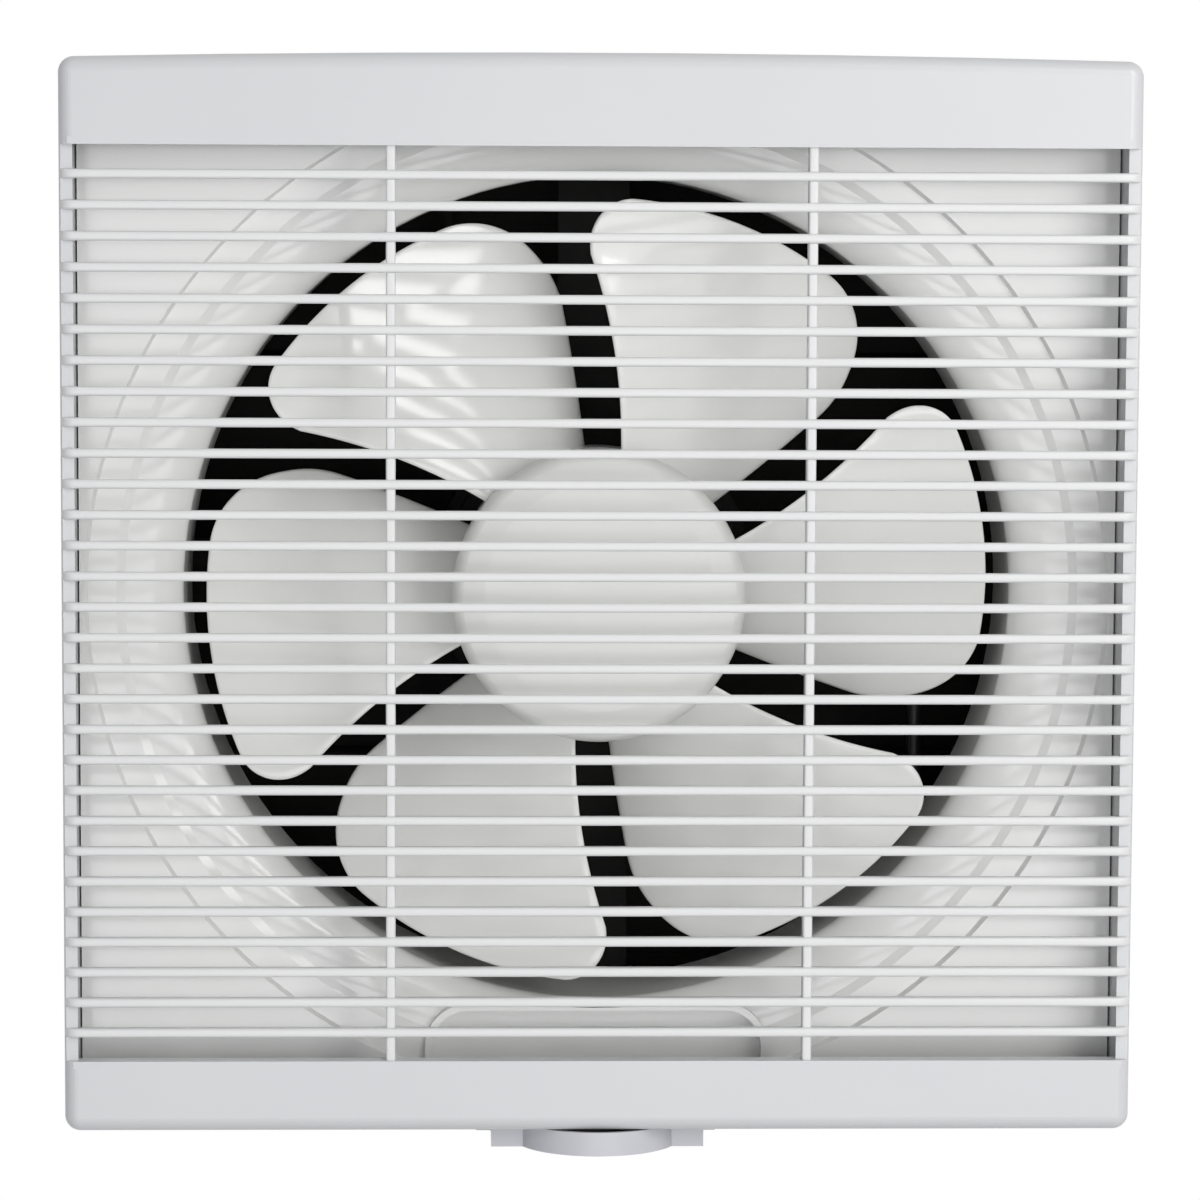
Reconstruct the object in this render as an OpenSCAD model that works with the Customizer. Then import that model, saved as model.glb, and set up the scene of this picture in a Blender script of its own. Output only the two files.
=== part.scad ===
// Ten-inch wall exhaust fan with a square slatted panel and a rear shutter.
// X runs to the right seen from the room, Y into the wall, Z up.
// The origin is on the fan's axis, in the plane of the wall's face.

/* [Panel] */
// Width and height of the square panel
panel_w = 340; // [336:1:360]
// How far the panel's front stands out from the wall
panel_out = 40; // [39:0.5:60]
// Wall thickness of the panel's rim
rim_t = 3; // [2:0.1:4]
// Rounding of the panel's front edges
edge_r = 4.5; // [4.2:0.1:6]
// Rounding of the panel's four corners, seen from the front
corner_r = 5; // [4.8:0.1:12]
// How far the panel's top edge bows up in the middle
top_crown = 1.9; // [0.5:0.1:3]
// Height of the plain band above the slats
top_band_h = 27.3; // [22:0.1:36]
// Height of the plain band below the slats
bottom_band_h = 22.9; // [22:0.1:36]
// Thickness of the bands
band_t = 2.4; // [1.6:0.1:4]
// How far the side rims lie behind the slat fronts
rim_back = 2; // [0.5:0.1:4]
// Width of the tongues that hold the panel on
tongue_w = 14; // [8:0.5:20]
// Thickness of the tongues
tongue_t = 2.5; // [1.5:0.1:3.5]

/* [Slats] */
// Number of slats
slat_count = 29; // [15:1:32]
// Distance from each band to the centre of its nearest slat
slat_margin = 9.1; // [6:0.1:14]
// Slat thickness at the front
slat_front_t = 3; // [1.6:0.1:3.6]
// Slat thickness at the back
slat_back_t = 2; // [1.2:0.1:3]
// Depth of a slat from front to back
slat_depth = 6; // [4:0.1:7]
// Distance of the two upright ribs from the middle
rib_x = 66.3; // [40:0.1:120]
// Width of an upright rib
rib_w = 3; // [1.6:0.1:5]

/* [Orifice plate] */
// How far the plate's flat ledge stands out from the wall
ledge_out = 13; // [12:0.1:16]
// Thickness of the plate
plate_t = 2.2; // [1.5:0.1:2.8]
// Distance from the step around the dish to the plate's edge
ring_in = 2; // [1.5:0.1:6]
// Depth of the dish below the ledge
dish_step = 4; // [3:0.1:5]
// Distance from the bore of the throat to the inside of the sleeve
throat_in = 12.5; // [10.5:0.1:15]
// Length of the throat's straight part
throat_l = 40; // [34:0.5:44]
// Width of the bell mouth around the throat
mouth_w = 18; // [14:0.1:22]
// Depth of the bell mouth
mouth_d = 11; // [9:0.1:14]
// Width of the oil channel below the throat
channel_w = 107; // [60:0.5:130]
// Distance from the throat down to the top of the oil channel
channel_in = 2; // [0:0.1:8]
// Depth of the oil channel below the dish
channel_d = 3.6; // [2:0.1:3.8]

/* [Duct frame] */
// Thickness of the flange against the wall
flange_t = 3; // [2:0.1:4]
// Thickness of the frame's perimeter wall
wall_t = 2.2; // [1.6:0.1:3.5]
// How far the panel reaches past the sleeve on each side
sleeve_in = 21; // [20:0.5:24]
// Thickness of the sleeve
sleeve_t = 2.5; // [2:0.1:3]
// Length of the sleeve behind the wall's face
sleeve_l = 100; // [98:1:160]
// Outer corner radius of the sleeve
sleeve_r = 8; // [5:0.5:10]
// Sideways distance from the panel's edge to the wall screws
wall_screw_in = 60; // [55:1:70]
// Distance of the wall screws above and below the sleeve
wall_screw_out = 10; // [8:0.5:10.5]
// Diameter of the wall screw holes
wall_screw_d = 5.2; // [4.2:0.1:6]

/* [Fan wheel] */
// Number of blades
blade_count = 6; // [3:1:8]
// Clearance between the blade tips and the throat
tip_gap = 7; // [5:0.5:16]
// Turn of the wheel as seen in the photograph
blade_turn = 7.3; // [0:0.1:60]
// Outer radius of the hub
hub_r = 46; // [40:0.5:52]
// Wall thickness of the hub
hub_t = 2.2; // [1.6:0.1:3]
// How far the hub's front stands out from the wall
hub_out = 12; // [11:0.1:13]
// Length of the hub
hub_l = 36; // [35:0.5:38]
// Blade thickness
blade_t = 2.2; // [1.4:0.1:2.6]
// Depth of a blade from its leading edge back to its trailing edge, at the hub
blade_root_d = 30; // [20:0.5:30]
// The same at the tip
blade_tip_d = 36; // [20:0.5:38]
// How far the spinner cap stands out past the hub
cap_out = 1; // [0.6:0.1:2]
// Height of the spinner cap
cap_h = 16; // [14:0.1:17]
// Wall thickness of the spinner cap
cap_t = 2; // [1.5:0.1:2.2]

/* [Motor] */
// Radius of the motor shells
motor_r = 42; // [41:0.5:46]
// Length of each of the two shells
shell_l = 25; // [24:0.5:27]
// Thickness of the shells
shell_t = 2; // [1.5:0.1:2.5]
// Gap between the hub and the motor
motor_gap = 6; // [5:0.5:8]
// Radius of the shaft
shaft_r = 4; // [3:0.1:5]
// Clearance around the shaft, on the radius
shaft_gap = 0.03; // [0.01:0.01:0.08]
// Outer radius of the bearings
bearing_r = 8; // [7:0.1:9]
// Length of a bearing
bearing_l = 10; // [8:0.5:11]
// Thickness of the motor's screwed ears
ear_t = 3; // [2:0.1:4]
// Distance from the shells to the circle of the motor screws
ear_out = 5; // [4.5:0.1:8]
// Thickness of the motor bracket
bracket_t = 2.5; // [2:0.1:3]
// Width of the bracket's arms
arm_w = 24; // [20:0.5:28]

/* [Shutter] */
// Depth of the shutter's frame
shutter_l = 24; // [22:0.5:30]
// Wall thickness of the shutter's frame
shutter_t = 3; // [2.5:0.1:4]
// Distance of the flap pivots behind the sleeve
pivot_back = 12; // [12:0.1:13]
// Radius of the flap pivots
pivot_r = 2; // [1.5:0.1:2.2]
// Clearance around the pivots, on the radius
pivot_gap = 0.06; // [0.02:0.01:0.1]
// Thickness of a flap
flap_t = 1.6; // [1.2:0.1:2]
// How far each flap laps over the next
flap_lap = 4; // [2:0.1:5]
// Sideways place of the link bar
link_x = -46; // [-100:1:-30]
// Distance from a flap's pivot to the link bar's pins
crank_r = 14; // [13.8:0.1:15]
// Rise of the crank above the level line when the shutter is closed, in degrees
crank_rise = 4; // [0:0.5:5]

/* [Drip cup] */
// Width of the cup and its two rails together
tab_w = 68.5; // [60:0.5:90]
// Height of the cup
cup_h = 7.6; // [7:0.1:12]
// Wall thickness of the cup
cup_t = 1.5; // [1:0.1:2]
// Width of the rounded lip at the cup's front
lip_w = 48; // [30:0.5:50]
// How far the lip bulges forwards
lip_out = 15; // [10:0.5:16]

/* [Wiring] */
// Width of the terminal box
box_w = 46.5; // [45:0.5:47]
// Height of the terminal box
box_h = 36; // [36:0.5:37]
// Depth of the terminal box
box_d = 38.5; // [38:0.5:42]
// Wall thickness of the terminal box
box_t = 2; // [1.5:0.1:2]
// Diameter of the supply cable that the grommet takes
cable_d = 7.2; // [6:0.1:8]
// Diameter of the lead to the motor
lead_d = 5; // [4:0.1:5]

/* [Hidden] */
$fn = 96;

// Colours
white = "#f4f4f2";
slate = "#1d1b1a";
steel = "#b9bcc0";
zinc = "#8d9094";
copper = "#b4683a";
brass = "#c9a352";
grey = "#6d7073";

// Small clearances between pieces
seat_gap = 0.1;
skirt_gap = 0.5;
slot_gap = 1;

// Each flap has a module of its own at the end
flap_count = 4;

// Planes along Y, from the panel's front to the shutter
front_y = -panel_out;
slat_back_y = front_y + slat_depth;
ledge_y = -ledge_out;
ledge_back_y = ledge_y + plate_t;
dish_y = ledge_y + dish_step;
lip_y = dish_y + mouth_d;
throat_end_y = lip_y + throat_l;
hub_y = -hub_out;
hub_end_y = hub_y + hub_l;
motor_y = hub_end_y + motor_gap;
joint_y = motor_y + shell_l;
motor_end_y = joint_y + shell_l;
bracket_y = joint_y + ear_t;
bracket_back_y = bracket_y + bracket_t;
pivot_y = sleeve_l + pivot_back;

// The square frame inside the panel's rim
frame_w = panel_w - 2 * rim_t - 2 * skirt_gap;
flange_w = panel_w - 2;
frame_corner_r = 3;
seam_y = dish_y + plate_t + 0.3;
sleeve_w = panel_w - 2 * sleeve_in;
inner_w = sleeve_w - 2 * sleeve_t;
inner_r = sleeve_r - sleeve_t;
ring_r = frame_w / 2 - ring_in;
throat_r = inner_w / 2 - throat_in;
tip_r = throat_r - tip_gap;
channel_z = throat_r + channel_in;
cap_r = hub_r + cap_out;

// Places shared by the screws and the holes that take them
orifice_screw_in = 9;
orifice_screw_at = frame_w / 2 - orifice_screw_in;
orifice_screw_r = 1.5;
orifice_head_r = 3;
orifice_boss_r = 5;
wall_screw_x = panel_w - 2 * wall_screw_in;
wall_screw_z = sleeve_w + 2 * wall_screw_out;
wall_head_gap = 2;
tongue_in = [39, 13];
tongue_x = panel_w / 2 - tongue_in[0];
tongue_z = panel_w / 2 - tongue_in[1];
shutter_screw_in = 7.5;
shutter_screw_at = inner_w / 2 - shutter_screw_in;
shutter_boss_r = 5;
shutter_boss_l = 30;
shutter_screw_r = 1.6;
shutter_head_r = 3.2;
shutter_screw_l = 10;
motor_screw_r = motor_r + ear_out;
motor_screw_shank_r = 2;
motor_head_r = 3;
motor_nut_r = 3.6;
motor_nut_l = 3;
motor_screw_spare = 5;
head_h = 2.4;

// A solid turned around the fan's axis, from points of radius and Y
module turned(points) {
  rotate([-90, 0, 0])
    rotate_extrude($fn = 180)
      polygon(points);
}

// A flat outline of X and Z made solid between two planes along Y
module slab(y0, y1) {
  translate([0, y1, 0])
    rotate([90, 0, 0])
      linear_extrude(height = y1 - y0)
        children();
}

// Round bars along X, Y and Z
module bar_x(r, x0, x1, y = 0, z = 0) {
  translate([x0, y, z])
    rotate([0, 90, 0])
      cylinder(r = r, h = x1 - x0);
}

module bar_y(r, y0, y1, x = 0, z = 0) {
  translate([x, y0, z])
    rotate([-90, 0, 0])
      cylinder(r = r, h = y1 - y0);
}

module bar_z(r, z0, z1, x = 0, y = 0) {
  translate([x, y, z0])
    cylinder(r = r, h = z1 - z0);
}

// A block between two corners
module block(low, high) {
  translate(low)
    cube(high - low);
}

// A square outline with round corners
module round_square(w, r) {
  square([w - 2 * r, w], center = true);
  square([w, w - 2 * r], center = true);
  for (x = [-1, 1], z = [-1, 1])
    translate([x, z] * (w / 2 - r))
      circle(r = r);
}

// Copies at the four corners of a rectangle around the axis
module at_corners(x, z) {
  for (i = [-1, 1], k = [-1, 1])
    translate([i * x, 0, k * z])
      children();
}

// Copies turned around the axis, a quarter turn apart
module four_ways(start = 0) {
  for (k = [0:3])
    rotate([0, start + 90 * k, 0])
      children();
}

// A pan-head screw: its head's underside is at the origin and its shank runs along +Z
module screw(shank_r, shank_l, head_r, height = head_h) {
  slot_w = 0.3 * head_r;
  slot_l = 1.3 * head_r;
  slot_h = 0.5 * height;
  cylinder(r = shank_r, h = shank_l, $fn = 32);
  difference() {
    translate([0, 0, -height])
      cylinder(r = head_r, h = height, $fn = 48);
    for (a = [0, 90])
      rotate(a)
        translate([-slot_l / 2, -slot_w / 2, -height - 1])
          cube([slot_l, slot_w, slot_h + 1]);
  }
}

// The same screw pointing into the wall, along +Y
module screw_y(shank_r, shank_l, head_r) {
  rotate([-90, 0, 0])
    screw(shank_r, shank_l, head_r);
}

// Points of an arc as radius and Y, from one angle to another
function arc(cx, cy, rx, ry, a0, a1, n) =
  [for (i = [0:n]) let (a = a0 + (a1 - a0) * i / n) [cx + rx * cos(a), cy + ry * sin(a)]];

// Cross-section of the panel's rim: distance outwards from the rim's outer face, and Y
rim_end_y = -flange_t - 0.4;
function rim_section(inward) = concat(
  [[0, rim_end_y]],
  arc(-edge_r, front_y + edge_r, edge_r, edge_r, 0, -90, 8),
  [[-edge_r - inward, front_y], [-edge_r - inward, front_y + band_t]],
  arc(-edge_r, front_y + edge_r, edge_r - rim_t, edge_r - band_t, -90, 0, 4),
  [[-rim_t, rim_end_y]]
);

// The top edge is a shallow arc that runs smoothly into the two upper corners
corner_at = panel_w / 2 - corner_r;
crown_a = 2 * atan(top_crown / corner_at);
crown_r = corner_at / sin(crown_a) + corner_r;
crown_z = corner_at - corner_at / tan(crown_a);
crown_band = top_crown + 1;

// The rim's section turned about an axis along Y, clockwise from +X
module rim_turn(r, start, sweep, inward = 0) {
  rotate([-90, 0, 0])
    rotate([0, 0, start])
      rotate_extrude(angle = sweep)
        translate([r, 0])
          polygon(rim_section(inward));
}

// The rim's section swept around the square: three straight sides, the corners and the crown
module rim_sweep() {
  for (k = [0:2])
    rotate([0, 90 * k, 0])
      translate([panel_w / 2, 0, -corner_at])
        linear_extrude(height = 2 * corner_at)
          polygon(rim_section(0));
  for (x = [-1, 1]) {
    translate([x * corner_at, 0, -corner_at])
      rim_turn(corner_r, x > 0 ? 0 : 90, 90);
    translate([x * corner_at, 0, corner_at])
      rim_turn(corner_r, x > 0 ? 270 + crown_a : 180, 90 - crown_a);
  }
  translate([0, 0, crown_z])
    rim_turn(crown_r, 270 - crown_a, 2 * crown_a, crown_band, $fn = 3600);
}

band_low_z = panel_w / 2 - top_band_h;
band_high_z = -panel_w / 2 + bottom_band_h;
slat_pitch = (band_low_z - band_high_z - 2 * slat_margin) / (slat_count - 1);

// One slat as a bar with a tapered section, wider than the panel
module slat_bar(z) {
  long = panel_w + 2;
  translate([-long / 2, 0, z])
    rotate([90, 0, 90])
      linear_extrude(height = long)
        polygon([
          [front_y, -slat_front_t / 2],
          [slat_back_y, -slat_back_t / 2],
          [slat_back_y, slat_back_t / 2],
          [front_y, slat_front_t / 2]
        ]);
}

module slat_bars() {
  for (i = [0:slat_count - 1])
    slat_bar(band_high_z + slat_margin + i * slat_pitch);
}

// Outline of the panel seen from above, with its rounded front edges
module plan_outline() {
  polygon(concat(
    [[-panel_w / 2, slat_back_y + 1]],
    arc(-panel_w / 2 + edge_r, front_y + edge_r, edge_r, edge_r, 180, 270, 8),
    arc(panel_w / 2 - edge_r, front_y + edge_r, edge_r, edge_r, 270, 360, 8),
    [[panel_w / 2, slat_back_y + 1]]
  ));
}

module grille_slats() {
  color(white) {
    intersection() {
      slat_bars();
      translate([0, 0, -panel_w / 2])
        linear_extrude(height = panel_w)
          plan_outline();
    }
    for (x = [-rib_x, rib_x])
      block([x - rib_w / 2, front_y + rim_back / 2, band_high_z],
            [x + rib_w / 2, slat_back_y, band_low_z]);
  }
}

module grille_surround() {
  band_x = panel_w / 2 - edge_r;
  lip_t = band_t;
  color(white) {
    difference() {
      rim_sweep();
      for (side = [-1, 1])
        translate([side * panel_w / 2, 0, 0])
          block([-edge_r - 1, front_y - 1, band_high_z],
                [edge_r + 1, front_y + rim_back, band_low_z]);
      slat_bars();
      translate([0, 0, -panel_w / 2])
        block([-spout_r - slot_gap, spout_y - spout_r - slot_gap, -1],
              [spout_r + slot_gap, 0, rim_t + 1]);
    }
    block([-band_x, front_y, band_low_z], [band_x, front_y + band_t, panel_w / 2 - edge_r]);
    block([-band_x, front_y, -panel_w / 2 + edge_r], [band_x, front_y + band_t, band_high_z]);
    rim_in = panel_w / 2 - rim_t;
    block([-rim_in, front_y, band_low_z], [rim_in, slat_back_y, band_low_z + lip_t]);
    block([-rim_in, front_y, band_high_z - lip_t], [rim_in, slat_back_y, band_high_z]);
    for (x = [-tongue_x, tongue_x], z = [-tongue_z, tongue_z])
      translate([x, 0, z])
        block([-tongue_w / 2, front_y + band_t / 2, -tongue_t / 2],
              [tongue_w / 2, -flange_t - 3, tongue_t / 2]);
  }
}

// The dish goes down in two steps: a steep one at its edge, a level band, and a gentle
// slope where the bell mouth starts
mouth_r = throat_r + mouth_w;
step_run = 0.9;
band_y = ledge_y + dish_step * 0.68;
slope_r = mouth_r + 0.3;
slope_w = (ring_r - mouth_r) * 0.22;

// Front and back faces of the dish, bell mouth and throat as radius and Y
dish_section = concat(
  [[throat_r, throat_end_y]],
  arc(mouth_r, lip_y, mouth_w, mouth_d, 180, 270, 12),
  [[slope_r, dish_y], [slope_r + slope_w, band_y]],
  [[ring_r - step_run / 2, band_y], [ring_r + step_run / 2, ledge_y]],
  [[frame_w, ledge_y], [frame_w, ledge_back_y]],
  [[ring_r + step_run / 2 + plate_t * 0.8, ledge_back_y]],
  [[ring_r - step_run / 2 + plate_t * 0.8, band_y + plate_t]],
  [[slope_r + slope_w + plate_t * 0.2, band_y + plate_t]],
  [[slope_r + plate_t * 0.2, dish_y + plate_t]],
  arc(mouth_r, lip_y, mouth_w - plate_t, mouth_d - plate_t, 270, 180, 12),
  [[throat_r + plate_t, throat_end_y]]
);

// The oil channel's spout, which drips into the cup
spout_r = 4;
spout_bore_r = 2.5;
spout_y = -7;
spout_tip_z = -panel_w / 2 - 1.4;
channel_end_z = -frame_w / 2 + 7;
channel_y = dish_y + channel_d;
channel_corner_r = 12;

// Outline of the oil channel, grown by some margin
module channel_outline(grow) {
  half = channel_w / 2 + grow;
  r = channel_corner_r + grow;
  top = -channel_z + grow;
  bottom = channel_end_z - grow;
  translate([-half, bottom])
    square([2 * half, top - r - bottom]);
  translate([-half + r, bottom])
    square([2 * half - 2 * r, top - bottom]);
  for (x = [-1, 1])
    translate([x * (half - r), top - r])
      circle(r = r);
}

module orifice_plate() {
  color(white)
    difference() {
      union() {
        intersection() {
          turned(dish_section);
          slab(ledge_y - 1, throat_end_y + 1)
            round_square(frame_w, frame_corner_r);
        }
        difference() {
          slab(ledge_back_y - 0.5, seam_y)
            round_square(frame_w, frame_corner_r);
          slab(ledge_back_y - 1, seam_y + 1)
            round_square(frame_w - 2 * wall_t, frame_corner_r - wall_t / 2);
        }
        difference() {
          slab(ledge_y + 0.5, channel_y + plate_t)
            channel_outline(plate_t);
          bar_y(throat_r + plate_t / 2, ledge_y - 1, throat_end_y);
        }
        bar_z(spout_r, spout_tip_z, channel_end_z + 0.5, 0, spout_y);
      }
      difference() {
        slab(ledge_y - 1, channel_y)
          channel_outline(0);
        bar_z(spout_r, -panel_w, channel_end_z, 0, spout_y);
      }
      bar_z(spout_bore_r, spout_tip_z - 1, channel_end_z + 1, 0, spout_y);
      at_corners(orifice_screw_at, orifice_screw_at)
        bar_y(orifice_screw_r + 0.3, ledge_y - 1, 0);
      at_corners(wall_screw_x / 2, wall_screw_z / 2)
        bar_y(wall_screw_d / 2 + wall_head_gap, ledge_y - 1, 0);
      at_corners(tongue_x, tongue_z)
        block([-tongue_w / 2 - slot_gap, ledge_y - 1, -tongue_t / 2 - slot_gap / 2],
              [tongue_w / 2 + slot_gap, ledge_back_y + 1, tongue_t / 2 + slot_gap / 2]);
    }
}

module orifice_screws() {
  color(steel)
    at_corners(orifice_screw_at, orifice_screw_at)
      translate([0, ledge_y, 0])
        screw_y(orifice_screw_r, ledge_out - flange_t - 1, orifice_head_r);
}

pad_t = 8;
pad_w = 30;
pad_l = 28;
foot_t = bracket_t;
foot_l = 26;
foot_screw_r = 1.9;
foot_head_r = 3.6;
foot_screw_y = [8, 19];

// The wall flange and the square wall on it that carries the orifice plate
module duct_frame() {
  color(slate) {
    difference() {
      union() {
        slab(-flange_t, 0)
          round_square(flange_w, corner_r - 1);
        slab(seam_y, -flange_t)
          round_square(frame_w, frame_corner_r);
        block([-rail_screw_x - rail_foot_w, -flange_t, cup_low_z + 1],
              [rail_screw_x + rail_foot_w, 0, -flange_w / 2 + 5]);
      }
      slab(seam_y - 1, -flange_t)
        round_square(frame_w - 2 * wall_t, frame_corner_r - wall_t / 2);
      slab(-flange_t - 1, 1)
        round_square(sleeve_w, sleeve_r);
      at_corners(wall_screw_x / 2, wall_screw_z / 2)
        bar_y(wall_screw_d / 2, -flange_t - 1, 1);
      bar_z(spout_r + 0.2, -panel_w / 2, channel_end_z + 1, 0, spout_y);
      for (x = [-rail_screw_x, rail_screw_x])
        bar_y(rail_screw_r + 0.05, -flange_t - 1, 1, x, rail_screw_z);
    }
    at_corners(orifice_screw_at, orifice_screw_at)
      difference() {
        bar_y(orifice_boss_r, ledge_back_y, -flange_t + 0.5);
        bar_y(orifice_screw_r + 0.05, ledge_back_y - 1, -flange_t);
      }
  }
}

// The square sleeve, which fills the flange's opening and passes through the wall
module duct_sleeve() {
  color(slate)
    difference() {
      slab(-flange_t, sleeve_l)
        round_square(sleeve_w, sleeve_r);
      difference() {
        slab(-flange_t - 1, sleeve_l + 1)
          round_square(inner_w, inner_r);
        at_corners(shutter_screw_at, shutter_screw_at)
          bar_y(shutter_boss_r, sleeve_l - shutter_boss_l, sleeve_l);
        at_corners(shutter_screw_at + 4, shutter_screw_at + 4)
          block([-4, sleeve_l - shutter_boss_l, -4], [4, sleeve_l, 4]);
        four_ways()
          block([inner_w / 2 - pad_t, bracket_y, -pad_w / 2],
                [inner_w / 2 + 1, bracket_y + pad_l, pad_w / 2]);
      }
      at_corners(shutter_screw_at, shutter_screw_at)
        bar_y(shutter_screw_r + 0.05, sleeve_l - shutter_screw_l - 2, sleeve_l + 1);
      four_ways()
        for (y = foot_screw_y)
          bar_x(foot_screw_r + 0.05, inner_w / 2 - pad_t - 1, inner_w / 2, bracket_y + y, 0);
      bar_x(grommet_neck_r + seat_gap, inner_w / 2 - 1, sleeve_w / 2 + 1, grommet_y, grommet_z);
      for (z = box_screw_z)
        bar_x(box_screw_r + 0.05, inner_w / 2 - 1, sleeve_w / 2 + 1, grommet_y, z);
    }
}

// Blade edges, as angles from the blade's own centre line, at some radius
lead_root_a = 13.8;
lead_tip_a = 24.3;
trail_root_a = 32.6;
trail_tip_a = 29.6;
full_width_at = 0.86;
lead_corner_r = 15.4;
trail_corner_r = 35.6;

function round_off(r, corner) =
  let (d = max(0, r - (tip_r - corner)))
  (corner - sqrt(max(0, corner * corner - d * d))) * 180 / (PI * r);

function widening(r) = min(1, (r - hub_r) / (full_width_at * tip_r - hub_r));
function full_lead(r) = lead_root_a + (lead_tip_a - lead_root_a) * widening(r);
function full_trail(r) = trail_root_a + (trail_tip_a - trail_root_a) * widening(r);
function lead_angle(r) = full_lead(r) - round_off(r, lead_corner_r);
function trail_angle(r) = -full_trail(r) + round_off(r, trail_corner_r);

// A point on the blade's front face: s runs from root to tip and t from leading to trailing edge
blade_rows = 11;
blade_cols = 8;
blade_root_r = hub_r - hub_t / 2;

function blade_r(i) = blade_root_r + (tip_r - blade_root_r) * sin(90 * i / blade_rows);

function blade_point(i, j, back) =
  let (
    r = blade_r(i),
    t = j / blade_cols,
    s = (r - blade_root_r) / (tip_r - blade_root_r),
    nominal = (lead_angle(r) - (lead_angle(r) - trail_angle(r)) * t),
    u = (full_lead(r) - nominal) / (full_lead(r) + full_trail(r)),
    depth = blade_root_d + (blade_tip_d - blade_root_d) * min(1, 2 * s),
    y = hub_y + 2.4 - 3 * s + depth * (0.6 * u + 0.4 * u * u)
  )
  [r * cos(nominal), y + back, r * sin(nominal)];

module blade() {
  n = blade_cols + 1;
  m = blade_rows + 1;
  front = [for (i = [0:blade_rows], j = [0:blade_cols]) blade_point(i, j, 0)];
  rear = [for (i = [0:blade_rows], j = [0:blade_cols]) blade_point(i, j, blade_t)];
  f = function (i, j) i * n + j;
  b = function (i, j) m * n + i * n + j;
  faces = concat(
    [for (i = [0:blade_rows - 1], j = [0:blade_cols - 1]) [f(i, j), f(i + 1, j), f(i + 1, j + 1)]],
    [for (i = [0:blade_rows - 1], j = [0:blade_cols - 1]) [f(i, j), f(i + 1, j + 1), f(i, j + 1)]],
    [for (i = [0:blade_rows - 1], j = [0:blade_cols - 1]) [b(i, j), b(i + 1, j + 1), b(i + 1, j)]],
    [for (i = [0:blade_rows - 1], j = [0:blade_cols - 1]) [b(i, j), b(i, j + 1), b(i + 1, j + 1)]],
    [for (j = [0:blade_cols - 1], e = [0, blade_rows])
      for (k = [0, 1]) end_face(f(e, j), f(e, j + 1), b(e, j), b(e, j + 1), e == 0, k)],
    [for (i = [0:blade_rows - 1], e = [0, blade_cols])
      for (k = [0, 1]) end_face(f(i, e), f(i + 1, e), b(i, e), b(i + 1, e), e != 0, k)]
  );
  polyhedron(concat(front, rear), faces);
}

// One of the two triangles that close a quad between front and rear points
function end_face(f0, f1, b0, b1, flip, k) =
  let (tri = k == 0 ? [f0, f1, b1] : [f0, b1, b0])
  flip ? tri : [tri[2], tri[1], tri[0]];

boss_r = 9;
boss_end_y = hub_end_y - 4;
web_y = hub_y + 2.5;
web_rib_h = 8;
spigot_r = cap_r - cap_t - 0.2;
spigot_l = 5;
pin_r = 1.25;
pin_y = boss_end_y - 2.4;
bore_r = shaft_r + shaft_gap;

module fan_wheel() {
  color(white) {
    difference() {
      union() {
        turned([
          [hub_r, hub_y], [hub_r, hub_end_y], [hub_r - hub_t, hub_end_y],
          [hub_r - hub_t, web_y], [boss_r, web_y], [boss_r, boss_end_y],
          [bore_r, boss_end_y], [bore_r, hub_y - 2], [boss_r, hub_y - 2], [boss_r, hub_y],
          [spigot_r - cap_t, hub_y], [spigot_r - cap_t, hub_y - spigot_l],
          [spigot_r, hub_y - spigot_l], [spigot_r, hub_y]
        ]);
        for (k = [0:blade_count - 1])
          rotate([0, 360 / blade_count * k, 0])
            block([boss_r - 0.5, web_y - 0.5, -0.8], [hub_r - hub_t + 0.5, web_y + web_rib_h, 0.8]);
      }
      block([-boss_r - 1, boss_end_y - 4, -pin_r - seat_gap],
            [boss_r + 1, boss_end_y + 1, pin_r + seat_gap]);
    }
    for (k = [0:blade_count - 1])
      rotate([0, -blade_turn - 360 / blade_count * k, 0])
        blade();
  }
}

cap_back_y = hub_y - 0.2;
cap_face_y = cap_back_y - cap_h;
cap_round = 5;
cap_dome = 2.2;

// Outline of the cap's outside, from its rim to the middle of its dome
function cap_outline(inset) = concat(
  arc(cap_r - cap_round, cap_face_y + cap_dome + cap_round,
      cap_round - inset, cap_round - inset, 0, -72, 8),
  [for (i = [1:8]) let (r = (cap_r - cap_round) * (1 - i / 8))
    [r, cap_face_y + inset + cap_dome * (r / cap_r) * (r / cap_r)]]
);

module spinner_cap() {
  inside = cap_outline(cap_t);
  color(white)
    turned(concat(
      [[cap_r, cap_back_y]],
      cap_outline(0),
      [for (i = [len(inside) - 1:-1:0]) inside[i]],
      [[cap_r - cap_t, cap_back_y]]
    ));
}

washer_t = 1.2;
nut_t = 4.4;
nut_r = 9.8;
nut_y = hub_y - 2 - washer_t;

module nut_washer() {
  color(steel)
    difference() {
      bar_y(boss_r, nut_y, hub_y - 2);
      bar_y(bore_r, nut_y - 1, hub_y);
    }
}

module wheel_nut() {
  color(zinc)
    difference() {
      translate([0, nut_y - nut_t, 0])
        rotate([-90, 0, 0])
          cylinder(r = nut_r, h = nut_t, $fn = 6);
      bar_y(bore_r, nut_y - nut_t - 1, nut_y + 1);
    }
}

shaft_front_y = nut_y - nut_t - 2.4;
shaft_end_y = motor_end_y + 3.8;

module motor_shaft() {
  color(steel)
    difference() {
      bar_y(shaft_r, shaft_front_y, shaft_end_y);
      bar_x(pin_r + 0.03, -shaft_r - 1, shaft_r + 1, pin_y, 0);
    }
}

module drive_pin() {
  color(zinc)
    bar_x(pin_r, -boss_r + 1, boss_r - 1, pin_y, 0);
}

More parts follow.
